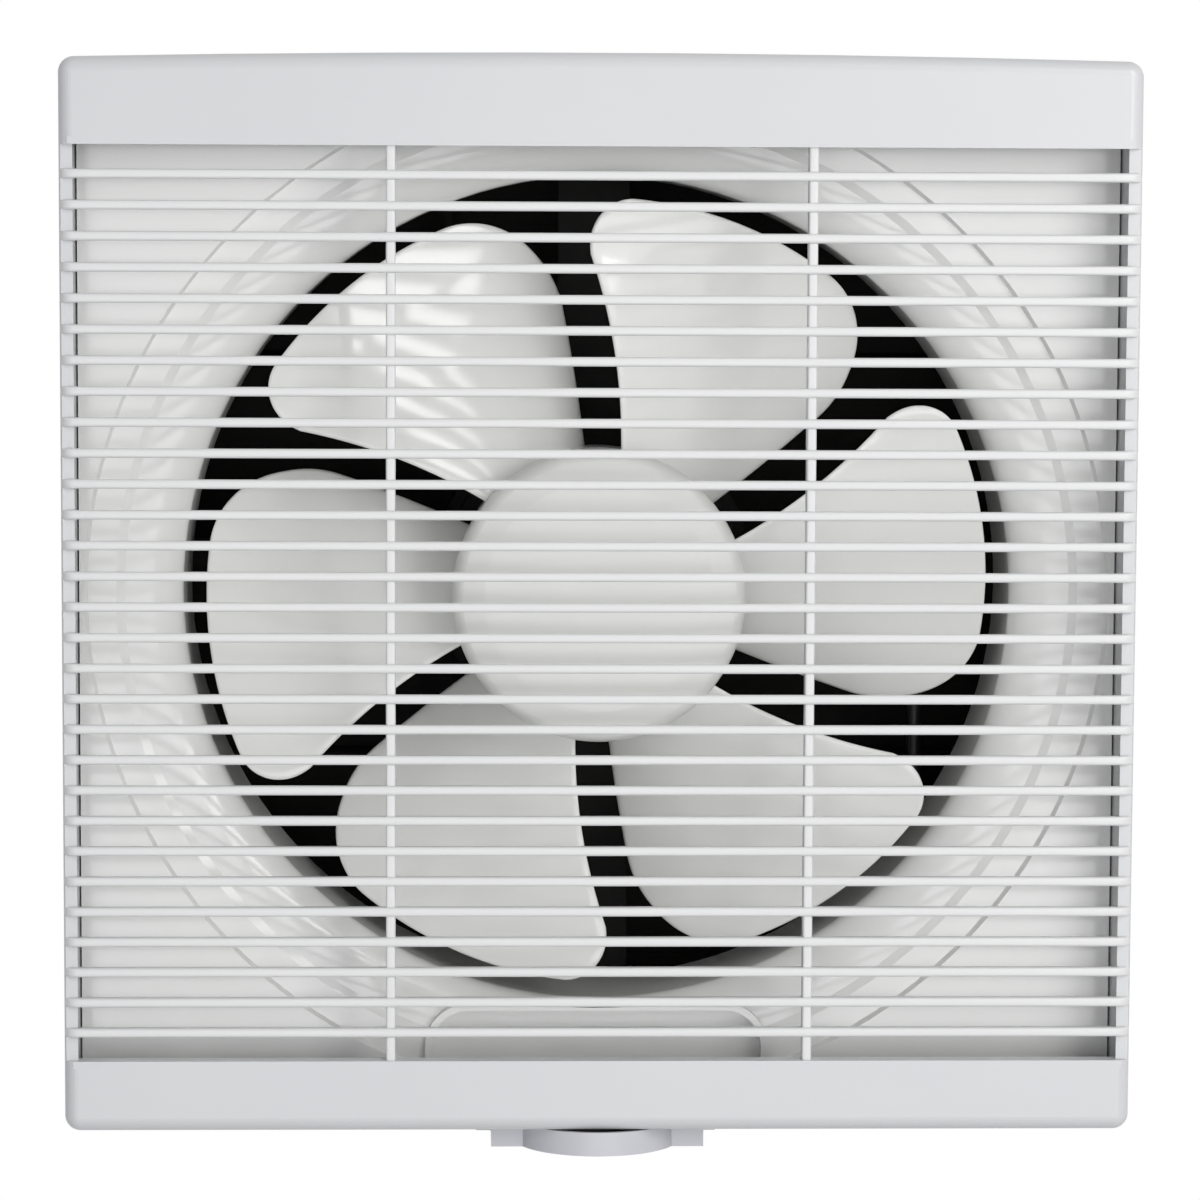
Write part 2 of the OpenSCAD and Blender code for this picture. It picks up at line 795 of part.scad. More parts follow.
nose_r = bearing_r + 4;
nose_l = 6;
core_l = 22;
core_y = joint_y - core_l / 2;
rotor_r = 22;
air_gap = 0.6;
core_r = motor_r - shell_t - seat_gap;
front_bearing_y = motor_y - nose_l;
rear_bearing_y = motor_end_y + nose_l - shell_t - bearing_l;

// One motor shell in section; a mirrored copy makes the other half
module shell_section(closed) {
  inner = motor_r - shell_t;
  seat = bearing_r + 0.02;
  edge = 4;
  flange = motor_screw_r + 3;
  seat_end = bearing_l - nose_l + (closed ? shell_t : 0);
  turned(concat(
    closed ? [[0, -nose_l], [nose_r, -nose_l]] : [[seat, -nose_l], [nose_r, -nose_l]],
    [[nose_r, 0], [motor_r - edge, 0], [motor_r, edge], [motor_r, shell_l - ear_t],
     [flange, shell_l - ear_t], [flange, shell_l], [inner, shell_l], [inner, edge + 0.8],
     [inner - edge + 0.8, shell_t], [nose_r, shell_t]],
    [[nose_r, seat_end], [seat, seat_end]],
    closed ? [[seat, shell_t - nose_l], [0, shell_t - nose_l]] : []
  ));
}

module motor_screw_holes() {
  four_ways(45)
    bar_y(motor_screw_shank_r + 0.1, joint_y - ear_t - 1, bracket_back_y + 1, motor_screw_r, 0);
}

module motor_front_shell() {
  color(slate)
    difference() {
      translate([0, motor_y, 0])
        shell_section(false);
      motor_screw_holes();
    }
}

lead_y = bracket_back_y + lead_d / 2 + 0.2;
lead_entry_y = joint_y + 15;

module motor_rear_shell() {
  color(slate)
    difference() {
      translate([0, motor_end_y, 0])
        mirror([0, 1, 0])
          shell_section(true);
      motor_screw_holes();
      bar_x(lead_d / 2 + 0.2, motor_r - shell_t - 4, motor_r + 1, lead_entry_y, 0);
    }
}

// A ring around the fan's axis
module ring(inner, outer, y0, y1) {
  difference() {
    bar_y(outer, y0, y1);
    bar_y(inner, y0 - 1, y1 + 1);
  }
}

module front_bearing() {
  color(brass)
    ring(bore_r, bearing_r, front_bearing_y, front_bearing_y + bearing_l);
}

module rear_bearing() {
  color(brass)
    ring(bore_r, bearing_r, rear_bearing_y, rear_bearing_y + bearing_l);
}

module thrust_washers() {
  color(brass) {
    ring(bore_r, bearing_r - 1, front_bearing_y + bearing_l + 0.2, front_bearing_y + bearing_l + 1.2);
    ring(bore_r, bearing_r - 1, rear_bearing_y - 1.2, rear_bearing_y - 0.2);
  }
}

module rotor_core() {
  color(zinc)
    ring(bore_r, rotor_r, core_y, core_y + core_l);
}

module rotor_cage() {
  cage_l = 4;
  color(steel) {
    ring(rotor_r - 8, rotor_r, core_y - cage_l, core_y);
    ring(rotor_r - 8, rotor_r, core_y + core_l, core_y + core_l + cage_l);
  }
}

// The winding lies in slots around the stator's bore
slot_count = 16;
slot_w = 3.6;
slot_in_r = rotor_r + air_gap + 2;
slot_out_r = core_r - 5;

module winding_slots(y0, y1, grow) {
  for (k = [0:slot_count - 1])
    rotate([0, 360 / slot_count * k, 0])
      block([slot_in_r - grow, y0, -slot_w / 2 - grow], [slot_out_r + grow, y1, slot_w / 2 + grow]);
}

module stator_core() {
  color(zinc)
    difference() {
      ring(rotor_r + air_gap, core_r, core_y, core_y + core_l);
      winding_slots(core_y - 1, core_y + core_l + 1, seat_gap);
    }
}

module stator_winding() {
  end_l = 7;
  color(copper) {
    winding_slots(core_y - 0.5, core_y + core_l + 0.5, 0);
    ring(slot_in_r, slot_out_r, core_y - end_l, core_y - seat_gap);
    ring(slot_in_r, slot_out_r, core_y + core_l + seat_gap, core_y + core_l + end_l);
  }
}

module motor_screws() {
  color(steel)
    four_ways(45)
      translate([motor_screw_r, joint_y - ear_t, 0])
        screw_y(motor_screw_shank_r, 2 * ear_t + bracket_t + motor_screw_spare, motor_head_r);
}

module motor_nuts() {
  color(zinc)
    four_ways(45)
      translate([motor_screw_r, bracket_back_y, 0])
        rotate([-90, 0, 0])
          difference() {
            cylinder(r = motor_nut_r, h = motor_nut_l, $fn = 6);
            translate([0, 0, -1])
              cylinder(r = motor_screw_shank_r + 0.05, h = motor_nut_l + 2);
          }
}

// The bracket: a ring around the motor, four arms and a foot on each wall of the sleeve
arm_end = inner_w / 2 - pad_t;

module motor_bracket() {
  ring_r_in = motor_r + 1;
  ring_r_out = motor_screw_r + 7;
  color(slate)
    difference() {
      union() {
        bar_y(ring_r_out, bracket_y, bracket_back_y);
        four_ways() {
          block([0, bracket_y, -arm_w / 2], [arm_end, bracket_back_y, arm_w / 2]);
          block([arm_end - foot_t, bracket_y, -arm_w / 2], [arm_end, bracket_y + foot_l, arm_w / 2]);
        }
      }
      bar_y(ring_r_in, bracket_y - 1, bracket_back_y + 1);
      motor_screw_holes();
      four_ways()
        for (y = foot_screw_y)
          bar_x(foot_screw_r + 0.2, arm_end - foot_t - 1, arm_end + 1, bracket_y + y, 0);
      for (x = clip_x)
        bar_y(clip_screw_r + 0.05, bracket_y - 1, bracket_back_y + 1, x, clip_screw_z);
    }
}

module bracket_screws() {
  color(steel)
    four_ways()
      for (y = foot_screw_y)
        translate([arm_end - foot_t, bracket_y + y, 0])
          rotate([0, 90, 0])
            screw(foot_screw_r, foot_t + pad_t - 1, foot_head_r);
}

// The terminal box stands in the lower right corner of the sleeve, on its right wall
box_x1 = inner_w / 2;
box_x0 = box_x1 - box_w;
box_z0 = -inner_w / 2 + inner_r + 1;
box_z1 = box_z0 + box_h;
box_y0 = dish_y + 6.5;
box_y1 = box_y0 + box_d;
grommet_y = box_y0 + 14.5;
grommet_z = (box_z0 + box_z1) / 2;
grommet_neck_r = cable_d / 2 + 1.8;
grommet_rim_r = cable_d / 2 + 3.4;
box_screw_r = 1.5;
box_head_r = 2.5;
box_head_h = 1.8;
box_screw_out = 12.4;
box_screw_z = [grommet_z - box_screw_out, grommet_z + box_screw_out];
cover_t = 2;
cover_screw_r = 1.2;
cover_screw_l = 8;
small_head_r = 2.4;
small_head_h = 1.4;
cover_post_r = 2.8;
cover_screw_at = [[box_x0 + 4, box_z0 + 4], [box_x0 + 4, box_z1 - 4]];
lead_exit = [box_x0 + 4.8, box_z1 - 11.5];

module terminal_box() {
  color(white)
    difference() {
      block([box_x0, box_y0, box_z0], [box_x1, box_y1, box_z1]);
      difference() {
        block([box_x0 + box_t, box_y0 - 1, box_z0 + box_t],
              [box_x1 - box_t, box_y1 - box_t, box_z1 - box_t]);
        for (p = cover_screw_at)
          bar_y(cover_post_r, box_y0, box_y1, p[0], p[1]);
      }
      for (p = cover_screw_at)
        bar_y(cover_screw_r + 0.05, box_y0 - 1, box_y0 + cover_screw_l + 2, p[0], p[1]);
      bar_x(grommet_neck_r + seat_gap, box_x1 - box_t - 1, box_x1 + 1, grommet_y, grommet_z);
      for (z = box_screw_z)
        bar_x(box_screw_r + 0.05, box_x1 - box_t - 1, box_x1 + 1, grommet_y, z);
      bar_y(lead_d / 2 + 0.2, box_y1 - box_t - 1, box_y1 + 1, lead_exit[0], lead_exit[1]);
    }
}

module terminal_box_cover() {
  color(white)
    difference() {
      block([box_x0, box_y0 - cover_t, box_z0], [box_x1 - 0.3, box_y0, box_z1]);
      for (p = cover_screw_at)
        bar_y(cover_screw_r + 0.2, box_y0 - cover_t - 1, box_y0 + 1, p[0], p[1]);
    }
}

module cover_screws() {
  color(steel)
    for (p = cover_screw_at)
      translate([p[0], box_y0 - cover_t, p[1]])
        rotate([-90, 0, 0])
          screw(cover_screw_r, cover_t + cover_screw_l, small_head_r, small_head_h);
}

module box_screws() {
  color(steel)
    for (z = box_screw_z)
      translate([box_x1 - box_t, grommet_y, z])
        rotate([0, 90, 0])
          screw(box_screw_r, box_t + sleeve_t, box_head_r, box_head_h);
}

terminal_w = 28;
terminal_h = 15;
terminal_d = 13;
terminal_x0 = box_x1 - box_t - terminal_w - 2;
terminal_z0 = box_z1 - box_t - terminal_h - 0.5;
terminal_y0 = box_y1 - box_t - terminal_d;
terminal_pole = terminal_w / 3;
terminal_screw_r = 1.8;
terminal_screw_y = [3, 6];
terminal_row = [4, 11];

// Places of the six clamp screws on the terminal block
module at_terminals() {
  for (i = [0:2], z = terminal_row)
    translate([terminal_x0 + terminal_pole * (i + 0.5), terminal_y0, terminal_z0 + z])
      children();
}

module terminal_block() {
  color(grey)
    difference() {
      block([terminal_x0, terminal_y0, terminal_z0],
            [terminal_x0 + terminal_w, terminal_y0 + terminal_d, terminal_z0 + terminal_h]);
      at_terminals()
        bar_y(terminal_screw_r + 0.3, -1, terminal_screw_y[1]);
      for (i = [1, 2])
        translate([terminal_x0 + terminal_pole * i, terminal_y0, terminal_z0])
          block([-0.6, -1, -1], [0.6, 3, terminal_h + 1]);
    }
}

module terminal_screws() {
  color(brass)
    at_terminals()
      difference() {
        bar_y(terminal_screw_r, terminal_screw_y[0], terminal_screw_y[1]);
        block([-terminal_screw_r, terminal_screw_y[0] - 1, -0.3],
              [terminal_screw_r, terminal_screw_y[0] + 0.8, 0.3]);
      }
}

module capacitor() {
  cap_box_w = 32;
  cap_box_h = 12;
  cap_box_d = 22;
  x1 = box_x1 - box_t - 3;
  z0 = box_z0 + box_t + 0.5;
  y1 = box_y1 - box_t;
  color(grey)
    block([x1 - cap_box_w, y1 - cap_box_d, z0], [x1, y1, z0 + cap_box_h]);
}

module cable_grommet() {
  x0 = box_x1 - box_t;
  x1 = sleeve_w / 2;
  collar = 1.5;
  color(slate)
    translate([0, grommet_y, grommet_z])
      difference() {
        union() {
          bar_x(grommet_neck_r, x0, x1);
          bar_x(grommet_rim_r, x0 - collar, x0);
          bar_x(grommet_rim_r, x1, x1 + collar);
        }
        bar_x(cable_d / 2, x0 - collar - 1, x1 + collar + 1);
      }
}

// The motor lead: from the terminal box, up behind the right arm and into the rear shell
lead_x = box_x0 + 10;
run_x = [motor_r + 14, lead_x - 12];
clip_x = [run_x[0] + (run_x[1] - run_x[0]) / 3, run_x[1] - 8];
clip_t = 1.6;
clip_screw_r = 1.2;
clip_screw_z = 7.5;
lead_route = [
  [lead_exit[0], box_y1 - box_t - 3, lead_exit[1]],
  [lead_exit[0], box_y1 + 8, lead_exit[1]],
  [lead_x - 2, lead_y - 3, box_z1 + 18],
  [lead_x, lead_y, box_z1 + 34],
  [lead_x, lead_y, -14],
  [lead_x - 4, lead_y, -4],
  [run_x[1], lead_y, 0],
  [run_x[0], lead_y, 0],
  [motor_r + 8, lead_y + 1, 0],
  [motor_r + 6, lead_entry_y - 2, 0],
  [motor_r + 3, lead_entry_y, 0],
  [motor_r - shell_t - 1.5, lead_entry_y, 0]
];
lead_sides = 10;

// Direction of the route at one of its points
function route_way(i) =
  let (n = len(lead_route) - 1,
       d = lead_route[min(n, i + 1)] - lead_route[max(0, i - 1)])
  d / norm(d);

// One ring of points around the route
function route_ring(i) =
  let (way = i == 0 ? [0, 1, 0] : i == len(lead_route) - 1 ? [-1, 0, 0] : route_way(i),
       side = cross(way, [0.3, 0.1, 0.95]),
       u = side / norm(side),
       v = cross(way, u))
  [for (k = [0:lead_sides - 1]) let (a = 360 * k / lead_sides)
    lead_route[i] + lead_d / 2 * (u * cos(a) + v * sin(a))];

module motor_lead() {
  n = len(lead_route);
  s = lead_sides;
  points = [for (i = [0:n - 1]) each route_ring(i)];
  side_faces = [for (i = [0:n - 2], k = [0:s - 1])
    for (face = [[i * s + k, (i + 1) * s + k, (i + 1) * s + (k + 1) % s],
                 [i * s + k, (i + 1) * s + (k + 1) % s, i * s + (k + 1) % s]])
      face];
  ends = [[for (k = [0:s - 1]) k], [for (k = [s - 1:-1:0]) (n - 1) * s + k]];
  color(slate)
    polyhedron(points, concat(side_faces, ends));
}

module lead_clips() {
  half_w = 3;
  color(white)
    for (x = clip_x)
      translate([x, 0, 0])
        difference() {
          union() {
            intersection() {
              bar_x(lead_d / 2 + clip_t, -half_w, half_w, lead_y, 0);
              block([-half_w, bracket_back_y, -20], [half_w, lead_y + 20, 20]);
            }
            block([-half_w, bracket_back_y, 0], [half_w, bracket_back_y + clip_t, clip_screw_z + 3]);
          }
          bar_x(lead_d / 2 + 0.1, -half_w - 1, half_w + 1, lead_y, 0);
          bar_y(clip_screw_r + 0.2, bracket_y, lead_y, 0, clip_screw_z);
        }
}

module clip_screws() {
  color(steel)
    for (x = clip_x)
      translate([x, bracket_back_y + clip_t, clip_screw_z])
        rotate([90, 0, 0])
          screw(clip_screw_r, clip_t + bracket_t, small_head_r, small_head_h);
}

// The drip cup slides on two rails below the panel
under_gap = 0.4;
cup_top_z = -panel_w / 2 - under_gap;
cup_low_z = cup_top_z - cup_h;
cup_back_y = -flange_t - 0.3;
cup_flat_y = front_y + lip_out;
cup_wall_top_z = spout_tip_z - 0.4;
rail_gap = 0.3;
rail_web_t = 2;
runner_w = 1.6;
runner_h = 1.6;
rail_w = rail_web_t + runner_w;
cup_w = tab_w - 2 * rail_w - 2 * rail_gap;
rail_front_y = cup_flat_y + cup_t + rail_gap;
runner_z = cup_top_z - 1.5 - rail_gap - runner_h;
rail_foot_w = 5;
rail_foot_t = 2;
rail_screw_r = 1.4;
rail_head_r = 2.3;
rail_screw_x = tab_w / 2 + rail_foot_w / 2;
rail_screw_z = cup_top_z - 3;

// Plan of the cup, drawn in by some margin: a straight body and a lip with a round front
module cup_plan(inset) {
  bulge_r = (lip_w * lip_w / 4 + lip_out * lip_out) / (2 * lip_out);
  half = cup_w / 2 - inset;
  translate([-half, cup_flat_y + inset])
    square([2 * half, cup_back_y - cup_flat_y - 2 * inset]);
  intersection() {
    translate([0, cup_flat_y - lip_out + bulge_r])
      circle(r = bulge_r - inset, $fn = 180);
    translate([-half, front_y])
      square([2 * half, lip_out + 1 + inset]);
  }
}

module drip_cup() {
  color(white)
    difference() {
      union() {
        translate([0, 0, cup_low_z])
          linear_extrude(height = cup_top_z - cup_low_z)
            cup_plan(0);
        block([-tab_w / 2, cup_flat_y, cup_low_z], [tab_w / 2, cup_flat_y + cup_t, cup_top_z]);
        for (side = [-1, 1])
          translate([side * cup_w / 2, 0, runner_z])
            block([-runner_w, cup_flat_y + 1, 0], [runner_w, cup_back_y, runner_h]);
      }
      translate([0, 0, cup_low_z + cup_t])
        linear_extrude(height = cup_h)
          cup_plan(cup_t);
      block([-cup_w, cup_flat_y + cup_t, cup_wall_top_z], [cup_w, 0, cup_top_z + 1]);
    }
}

module cup_rails() {
  x0 = cup_w / 2 + rail_gap;
  x1 = tab_w / 2;
  color(white)
    for (side = [-1, 1])
      scale([side, 1, 1])
        difference() {
          union() {
            block([x0, rail_front_y, cup_low_z], [x1, -flange_t, cup_top_z]);
            block([x1 - 0.5, -flange_t - rail_foot_t, cup_low_z + 1],
                  [x1 + rail_foot_w, -flange_t, cup_top_z]);
          }
          block([x0 - 1, rail_front_y - 1, runner_z - rail_gap],
                [x0 + runner_w, -flange_t + 1, runner_z + runner_h + rail_gap]);
          bar_y(rail_screw_r + 0.2, -flange_t - rail_foot_t - 1, 0, rail_screw_x, rail_screw_z);
        }
}

module rail_screws() {
  color(steel)
    for (x = [-rail_screw_x, rail_screw_x])
      translate([x, -flange_t - rail_foot_t, rail_screw_z])
        screw_y(rail_screw_r, flange_t + rail_foot_t, rail_head_r);
}

// The shutter: pivots down the frame's height, an even pitch apart
shutter_in = sleeve_w / 2 - shutter_t;
flap_top_z = shutter_in - 6;
flap_low_z = -shutter_in + 5;
flap_pitch = (flap_top_z - flap_low_z - flap_lap) / flap_count;
flap_l = flap_pitch + flap_lap;
barrel_r = pivot_r + 0.4;
flap_side_gap = 1;
gusset = 15;
gusset_t = 3;

function pivot_z(i) = flap_top_z - (i - 1) * flap_pitch;

module shutter_frame() {
  sill_h = 8;
  sill_t = 2.5;
  color(slate)
    difference() {
      union() {
        difference() {
          slab(sleeve_l, sleeve_l + shutter_l)
            round_square(sleeve_w, sleeve_r);
          slab(sleeve_l - 1, sleeve_l + shutter_l + 1)
            round_square(2 * shutter_in, sleeve_r - shutter_t);
        }
        at_corners(shutter_in - gusset / 2, shutter_in - gusset / 2)
          block([-gusset / 2, sleeve_l, -gusset / 2], [gusset / 2, sleeve_l + gusset_t, gusset / 2]);
        block([-shutter_in, pivot_y - barrel_r - sill_t, -shutter_in - 0.5],
              [shutter_in, pivot_y - barrel_r, -shutter_in + sill_h]);
      }
      for (i = [1:flap_count], side = [-1, 1])
        scale([side, 1, 1])
          bar_x(pivot_r + pivot_gap, shutter_in - 1, sleeve_w / 2 + 1, pivot_y, pivot_z(i));
      at_corners(shutter_screw_at, shutter_screw_at)
        bar_y(shutter_screw_r + 0.3, sleeve_l - 1, sleeve_l + gusset_t + 1);
    }
}

module shutter_screws() {
  color(steel)
    at_corners(shutter_screw_at, shutter_screw_at)
      translate([0, sleeve_l + gusset_t, 0])
        rotate([90, 0, 0])
          screw(shutter_screw_r, gusset_t + shutter_screw_l, shutter_head_r);
}

lug_t = 3;
lug_r = 3.2;
link_pin_r = 1.5;
link_gap = 0.5;
crank_y = -crank_r * cos(crank_rise);
crank_z = crank_r * sin(crank_rise);

// One flap, drawn around its own pivot: a barrel with end pins, a leaning plate and a crank lug
module flap_at(z) {
  half = shutter_in - flap_side_gap;
  lean = barrel_r + 1.7;
  plate = [
    [-flap_t / 2, 0], [flap_t / 2, 0],
    [lean + flap_t / 2, -flap_l], [lean - flap_t / 2, -flap_l]
  ];
  color(slate)
    translate([0, pivot_y, z])
      difference() {
        union() {
          bar_x(barrel_r, -half, half);
          bar_x(pivot_r, -sleeve_w / 2 + 0.3, sleeve_w / 2 - 0.3);
          translate([-half, 0, 0])
            rotate([90, 0, 90])
              linear_extrude(height = 2 * half)
                polygon(plate);
          bar_x(lug_r, link_x - lug_t / 2, link_x + lug_t / 2, crank_y, crank_z);
          translate([link_x - lug_t / 2, 0, 0])
            rotate([90 - crank_rise, 0, 0])
              translate([0, -lug_r * 0.6, 0])
                cube([lug_t, lug_r * 1.2, crank_r]);
        }
        bar_x(link_pin_r + pivot_gap, link_x - lug_t, link_x + lug_t, crank_y, crank_z);
      }
}

module flap_1() { flap_at(pivot_z(1)); }
module flap_2() { flap_at(pivot_z(2)); }
module flap_3() { flap_at(pivot_z(3)); }
module flap_4() { flap_at(pivot_z(4)); }

module link_bar() {
  bar_t = 2;
  bar_w = 5;
  x1 = link_x - lug_t / 2 - link_gap;
  y = pivot_y + crank_y;
  color(slate) {
    block([x1 - bar_t, y - bar_w / 2, pivot_z(flap_count) + crank_z - bar_w / 2],
          [x1, y + bar_w / 2, pivot_z(1) + crank_z + bar_w / 2]);
    for (i = [1:flap_count])
      bar_x(link_pin_r, x1 - bar_t / 2, link_x + lug_t / 2 + 1, y, pivot_z(i) + crank_z);
  }
}

grille_surround();
grille_slats();
orifice_plate();
orifice_screws();
duct_frame();
duct_sleeve();
fan_wheel();
spinner_cap();
wheel_nut();
nut_washer();
drive_pin();
motor_shaft();
thrust_washers();
rotor_core();
rotor_cage();
front_bearing();
rear_bearing();
stator_core();
stator_winding();
motor_front_shell();
motor_rear_shell();
motor_screws();
motor_nuts();
motor_bracket();
bracket_screws();
terminal_box();
terminal_box_cover();
cover_screws();
box_screws();
terminal_block();
terminal_screws();
capacitor();
cable_grommet();
motor_lead();
lead_clips();
clip_screws();
drip_cup();
cup_rails();
rail_screws();
shutter_frame();
shutter_screws();
link_bar();
flap_1();
flap_2();
flap_3();
flap_4();
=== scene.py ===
import math

import bmesh
import bpy
from mathutils import Matrix, Quaternion, Vector


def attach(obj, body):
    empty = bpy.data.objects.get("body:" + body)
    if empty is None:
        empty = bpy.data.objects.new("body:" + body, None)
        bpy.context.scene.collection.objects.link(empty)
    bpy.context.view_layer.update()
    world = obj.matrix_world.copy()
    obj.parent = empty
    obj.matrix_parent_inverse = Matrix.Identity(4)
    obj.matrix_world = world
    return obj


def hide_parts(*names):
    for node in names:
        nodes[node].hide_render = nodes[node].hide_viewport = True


# A wall exhaust fan. Sizes in the dictionaries are millimetres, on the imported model's own axes.

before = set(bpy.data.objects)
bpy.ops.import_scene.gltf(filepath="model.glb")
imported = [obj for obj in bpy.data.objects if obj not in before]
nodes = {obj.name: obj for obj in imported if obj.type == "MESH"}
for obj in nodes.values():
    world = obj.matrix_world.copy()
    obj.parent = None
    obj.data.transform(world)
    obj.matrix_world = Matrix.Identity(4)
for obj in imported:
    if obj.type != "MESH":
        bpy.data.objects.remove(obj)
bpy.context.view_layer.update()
print("packed model loaded with", len(nodes), "nodes")

mm = 0.001


# Small helpers for shader trees

def tone(red, green, blue):
    # a colour as it reads on screen, 0 to 255, turned into Blender's linear values
    linear = []
    for value in (red, green, blue):
        v = value / 255
        linear.append(v / 12.92 if v <= 0.04045 else ((v + 0.055) / 1.055) ** 2.4)
    return (*linear, 1.0)


def addNode(tree, kind, x, y, **settings):
    node = tree.nodes.new(kind)
    node.location = (x, y)
    for name, value in settings.items():
        setattr(node, name, value)
    return node


def wire(tree, source, sourceName, target, targetName):
    tree.links.new(source.outputs[sourceName], target.inputs[targetName])


def newGroup(name, inputs, outputs):
    group = bpy.data.node_groups.new(name, "ShaderNodeTree")
    for label, kind, value in inputs:
        socket = group.interface.new_socket(label, in_out="INPUT", socket_type=kind)
        if kind == "NodeSocketFloat":
            socket.default_value = value
    for label, kind in outputs:
        group.interface.new_socket(label, in_out="OUTPUT", socket_type=kind)
    given = addNode(group, "NodeGroupInput", -900, 0)
    out = addNode(group, "NodeGroupOutput", 600, 0)
    return group, given, out


# Shared surface effects

def makeMouldedGrain():
    # fine bumps of a spark-eroded mould, and slow clouds from the way the plastic flowed
    group, given, out = newGroup(
        "mouldedGrain",
        [("Vector", "NodeSocketVector", None), ("Grain Scale", "NodeSocketFloat", 900.0),
         ("Cloud Scale", "NodeSocketFloat", 14.0)],
        [("Height", "NodeSocketFloat"), ("Cloud", "NodeSocketFloat")],
    )
    grain = addNode(group, "ShaderNodeTexNoise", -500, 150)
    grain.inputs["Detail"].default_value = 3.0
    cloud = addNode(group, "ShaderNodeTexNoise", -500, -150)
    cloud.inputs["Detail"].default_value = 4.0
    cloud.inputs["Roughness"].default_value = 0.6
    wire(group, given, "Vector", grain, "Vector")
    wire(group, given, "Vector", cloud, "Vector")
    wire(group, given, "Grain Scale", grain, "Scale")
    wire(group, given, "Cloud Scale", cloud, "Scale")
    wire(group, grain, "Fac", out, "Height")
    wire(group, cloud, "Fac", out, "Cloud")
    return group


def makeSettledDust():
    # a thin film on faces that look up, broken up by noise
    group, given, out = newGroup(
        "settledDust",
        [("Vector", "NodeSocketVector", None), ("Normal", "NodeSocketVector", None),
         ("Amount", "NodeSocketFloat", 0.2), ("Patch Scale", "NodeSocketFloat", 45.0)],
        [("Mask", "NodeSocketFloat")],
    )
    split = addNode(group, "ShaderNodeSeparateXYZ", -650, 150)
    upward = addNode(group, "ShaderNodeMapRange", -450, 150)
    upward.inputs["From Min"].default_value = 0.35
    patch = addNode(group, "ShaderNodeTexNoise", -650, -100)
    patch.inputs["Detail"].default_value = 5.0
    broken = addNode(group, "ShaderNodeMath", -200, 50, operation="MULTIPLY")
    scaled = addNode(group, "ShaderNodeMath", 50, 50, operation="MULTIPLY")
    wire(group, given, "Normal", split, "Vector")
    wire(group, split, "Z", upward, "Value")
    wire(group, given, "Vector", patch, "Vector")
    wire(group, given, "Patch Scale", patch, "Scale")
    wire(group, upward, "Result", broken, 0)
    wire(group, patch, "Fac", broken, 1)
    wire(group, broken, "Value", scaled, 0)
    wire(group, given, "Amount", scaled, 1)
    wire(group, scaled, "Value", out, "Mask")
    return group


def makeStretchedLines():
    # brush marks, sheet edges or turns of wire: noise drawn out along two of the three directions
    group, given, out = newGroup(
        "stretchedLines",
        [("Vector", "NodeSocketVector", None), ("Stretch", "NodeSocketVector", None),
         ("Fineness", "NodeSocketFloat", 200.0)],
        [("Line", "NodeSocketFloat")],
    )
    squeeze = addNode(group, "ShaderNodeVectorMath", -550, 100, operation="MULTIPLY")
    lines = addNode(group, "ShaderNodeTexNoise", -250, 100)
    lines.inputs["Detail"].default_value = 2.0
    wire(group, given, "Vector", squeeze, 0)
    wire(group, given, "Stretch", squeeze, 1)
    wire(group, squeeze, "Vector", lines, "Vector")
    wire(group, given, "Fineness", lines, "Scale")
    wire(group, lines, "Fac", out, "Line")
    return group


def makeHandlingWear():
    # rubbed patches where a finish has worn thin
    group, given, out = newGroup(
        "handlingWear",
        [("Vector", "NodeSocketVector", None), ("Patch Scale", "NodeSocketFloat", 60.0),
         ("Spread", "NodeSocketFloat", 0.35)],
        [("Mask", "NodeSocketFloat")],
    )
    patch = addNode(group, "ShaderNodeTexNoise", -600, 100)
    patch.inputs["Detail"].default_value = 6.0
    patch.inputs["Roughness"].default_value = 0.7
    edge = addNode(group, "ShaderNodeMath", -350, -80, operation="SUBTRACT")
    edge.inputs[0].default_value = 1.0
    fade = addNode(group, "ShaderNodeMapRange", -100, 100)
    fade.inputs["From Max"].default_value = 0.95
    wire(group, given, "Vector", patch, "Vector")
    wire(group, given, "Patch Scale", patch, "Scale")
    wire(group, given, "Spread", edge, 1)
    wire(group, patch, "Fac", fade, "Value")
    wire(group, edge, "Value", fade, "From Min")
    wire(group, fade, "Result", out, "Mask")
    return group


mouldedGrain = makeMouldedGrain()
settledDust = makeSettledDust()
stretchedLines = makeStretchedLines()
handlingWear = makeHandlingWear()
print("shared surface effects ready")


# Materials

def startMaterial(name):
    material = bpy.data.materials.new(name)
    material.use_nodes = True
    tree = material.node_tree
    tree.nodes.clear()
    shader = addNode(tree, "ShaderNodeBsdfPrincipled", 300, 0)
    output = addNode(tree, "ShaderNodeOutputMaterial", 600, 0)
    wire(tree, shader, "BSDF", output, "Surface")
    coords = addNode(tree, "ShaderNodeTexCoord", -1300, 0)
    return material, tree, shader, coords


def placeGroup(tree, group, x, y, **values):
    node = addNode(tree, "ShaderNodeGroup", x, y, node_tree=group)
    for label, value in values.items():
        node.inputs[label.replace("_", " ")].default_value = value
    return node


# the places of a Mix node's colour sockets, whose names it shares with its other sockets
firstColour = 6
secondColour = 7
mixedColour = 2


def mixColours(tree, x, y, first, second):
    mix = addNode(tree, "ShaderNodeMix", x, y, data_type="RGBA")
    mix.inputs[firstColour].default_value = first
    mix.inputs[secondColour].default_value = second
    return mix


noiseRange = (0.3, 0.7)  # where nearly all values of a noise lie


def spreadValue(tree, x, y, low, high):
    # turns the values of a noise into values from low to high
    spread = addNode(tree, "ShaderNodeMapRange", x, y)
    spread.inputs["From Min"].default_value = noiseRange[0]
    spread.inputs["From Max"].default_value = noiseRange[1]
    spread.inputs["To Min"].default_value = low
    spread.inputs["To Max"].default_value = high
    return spread


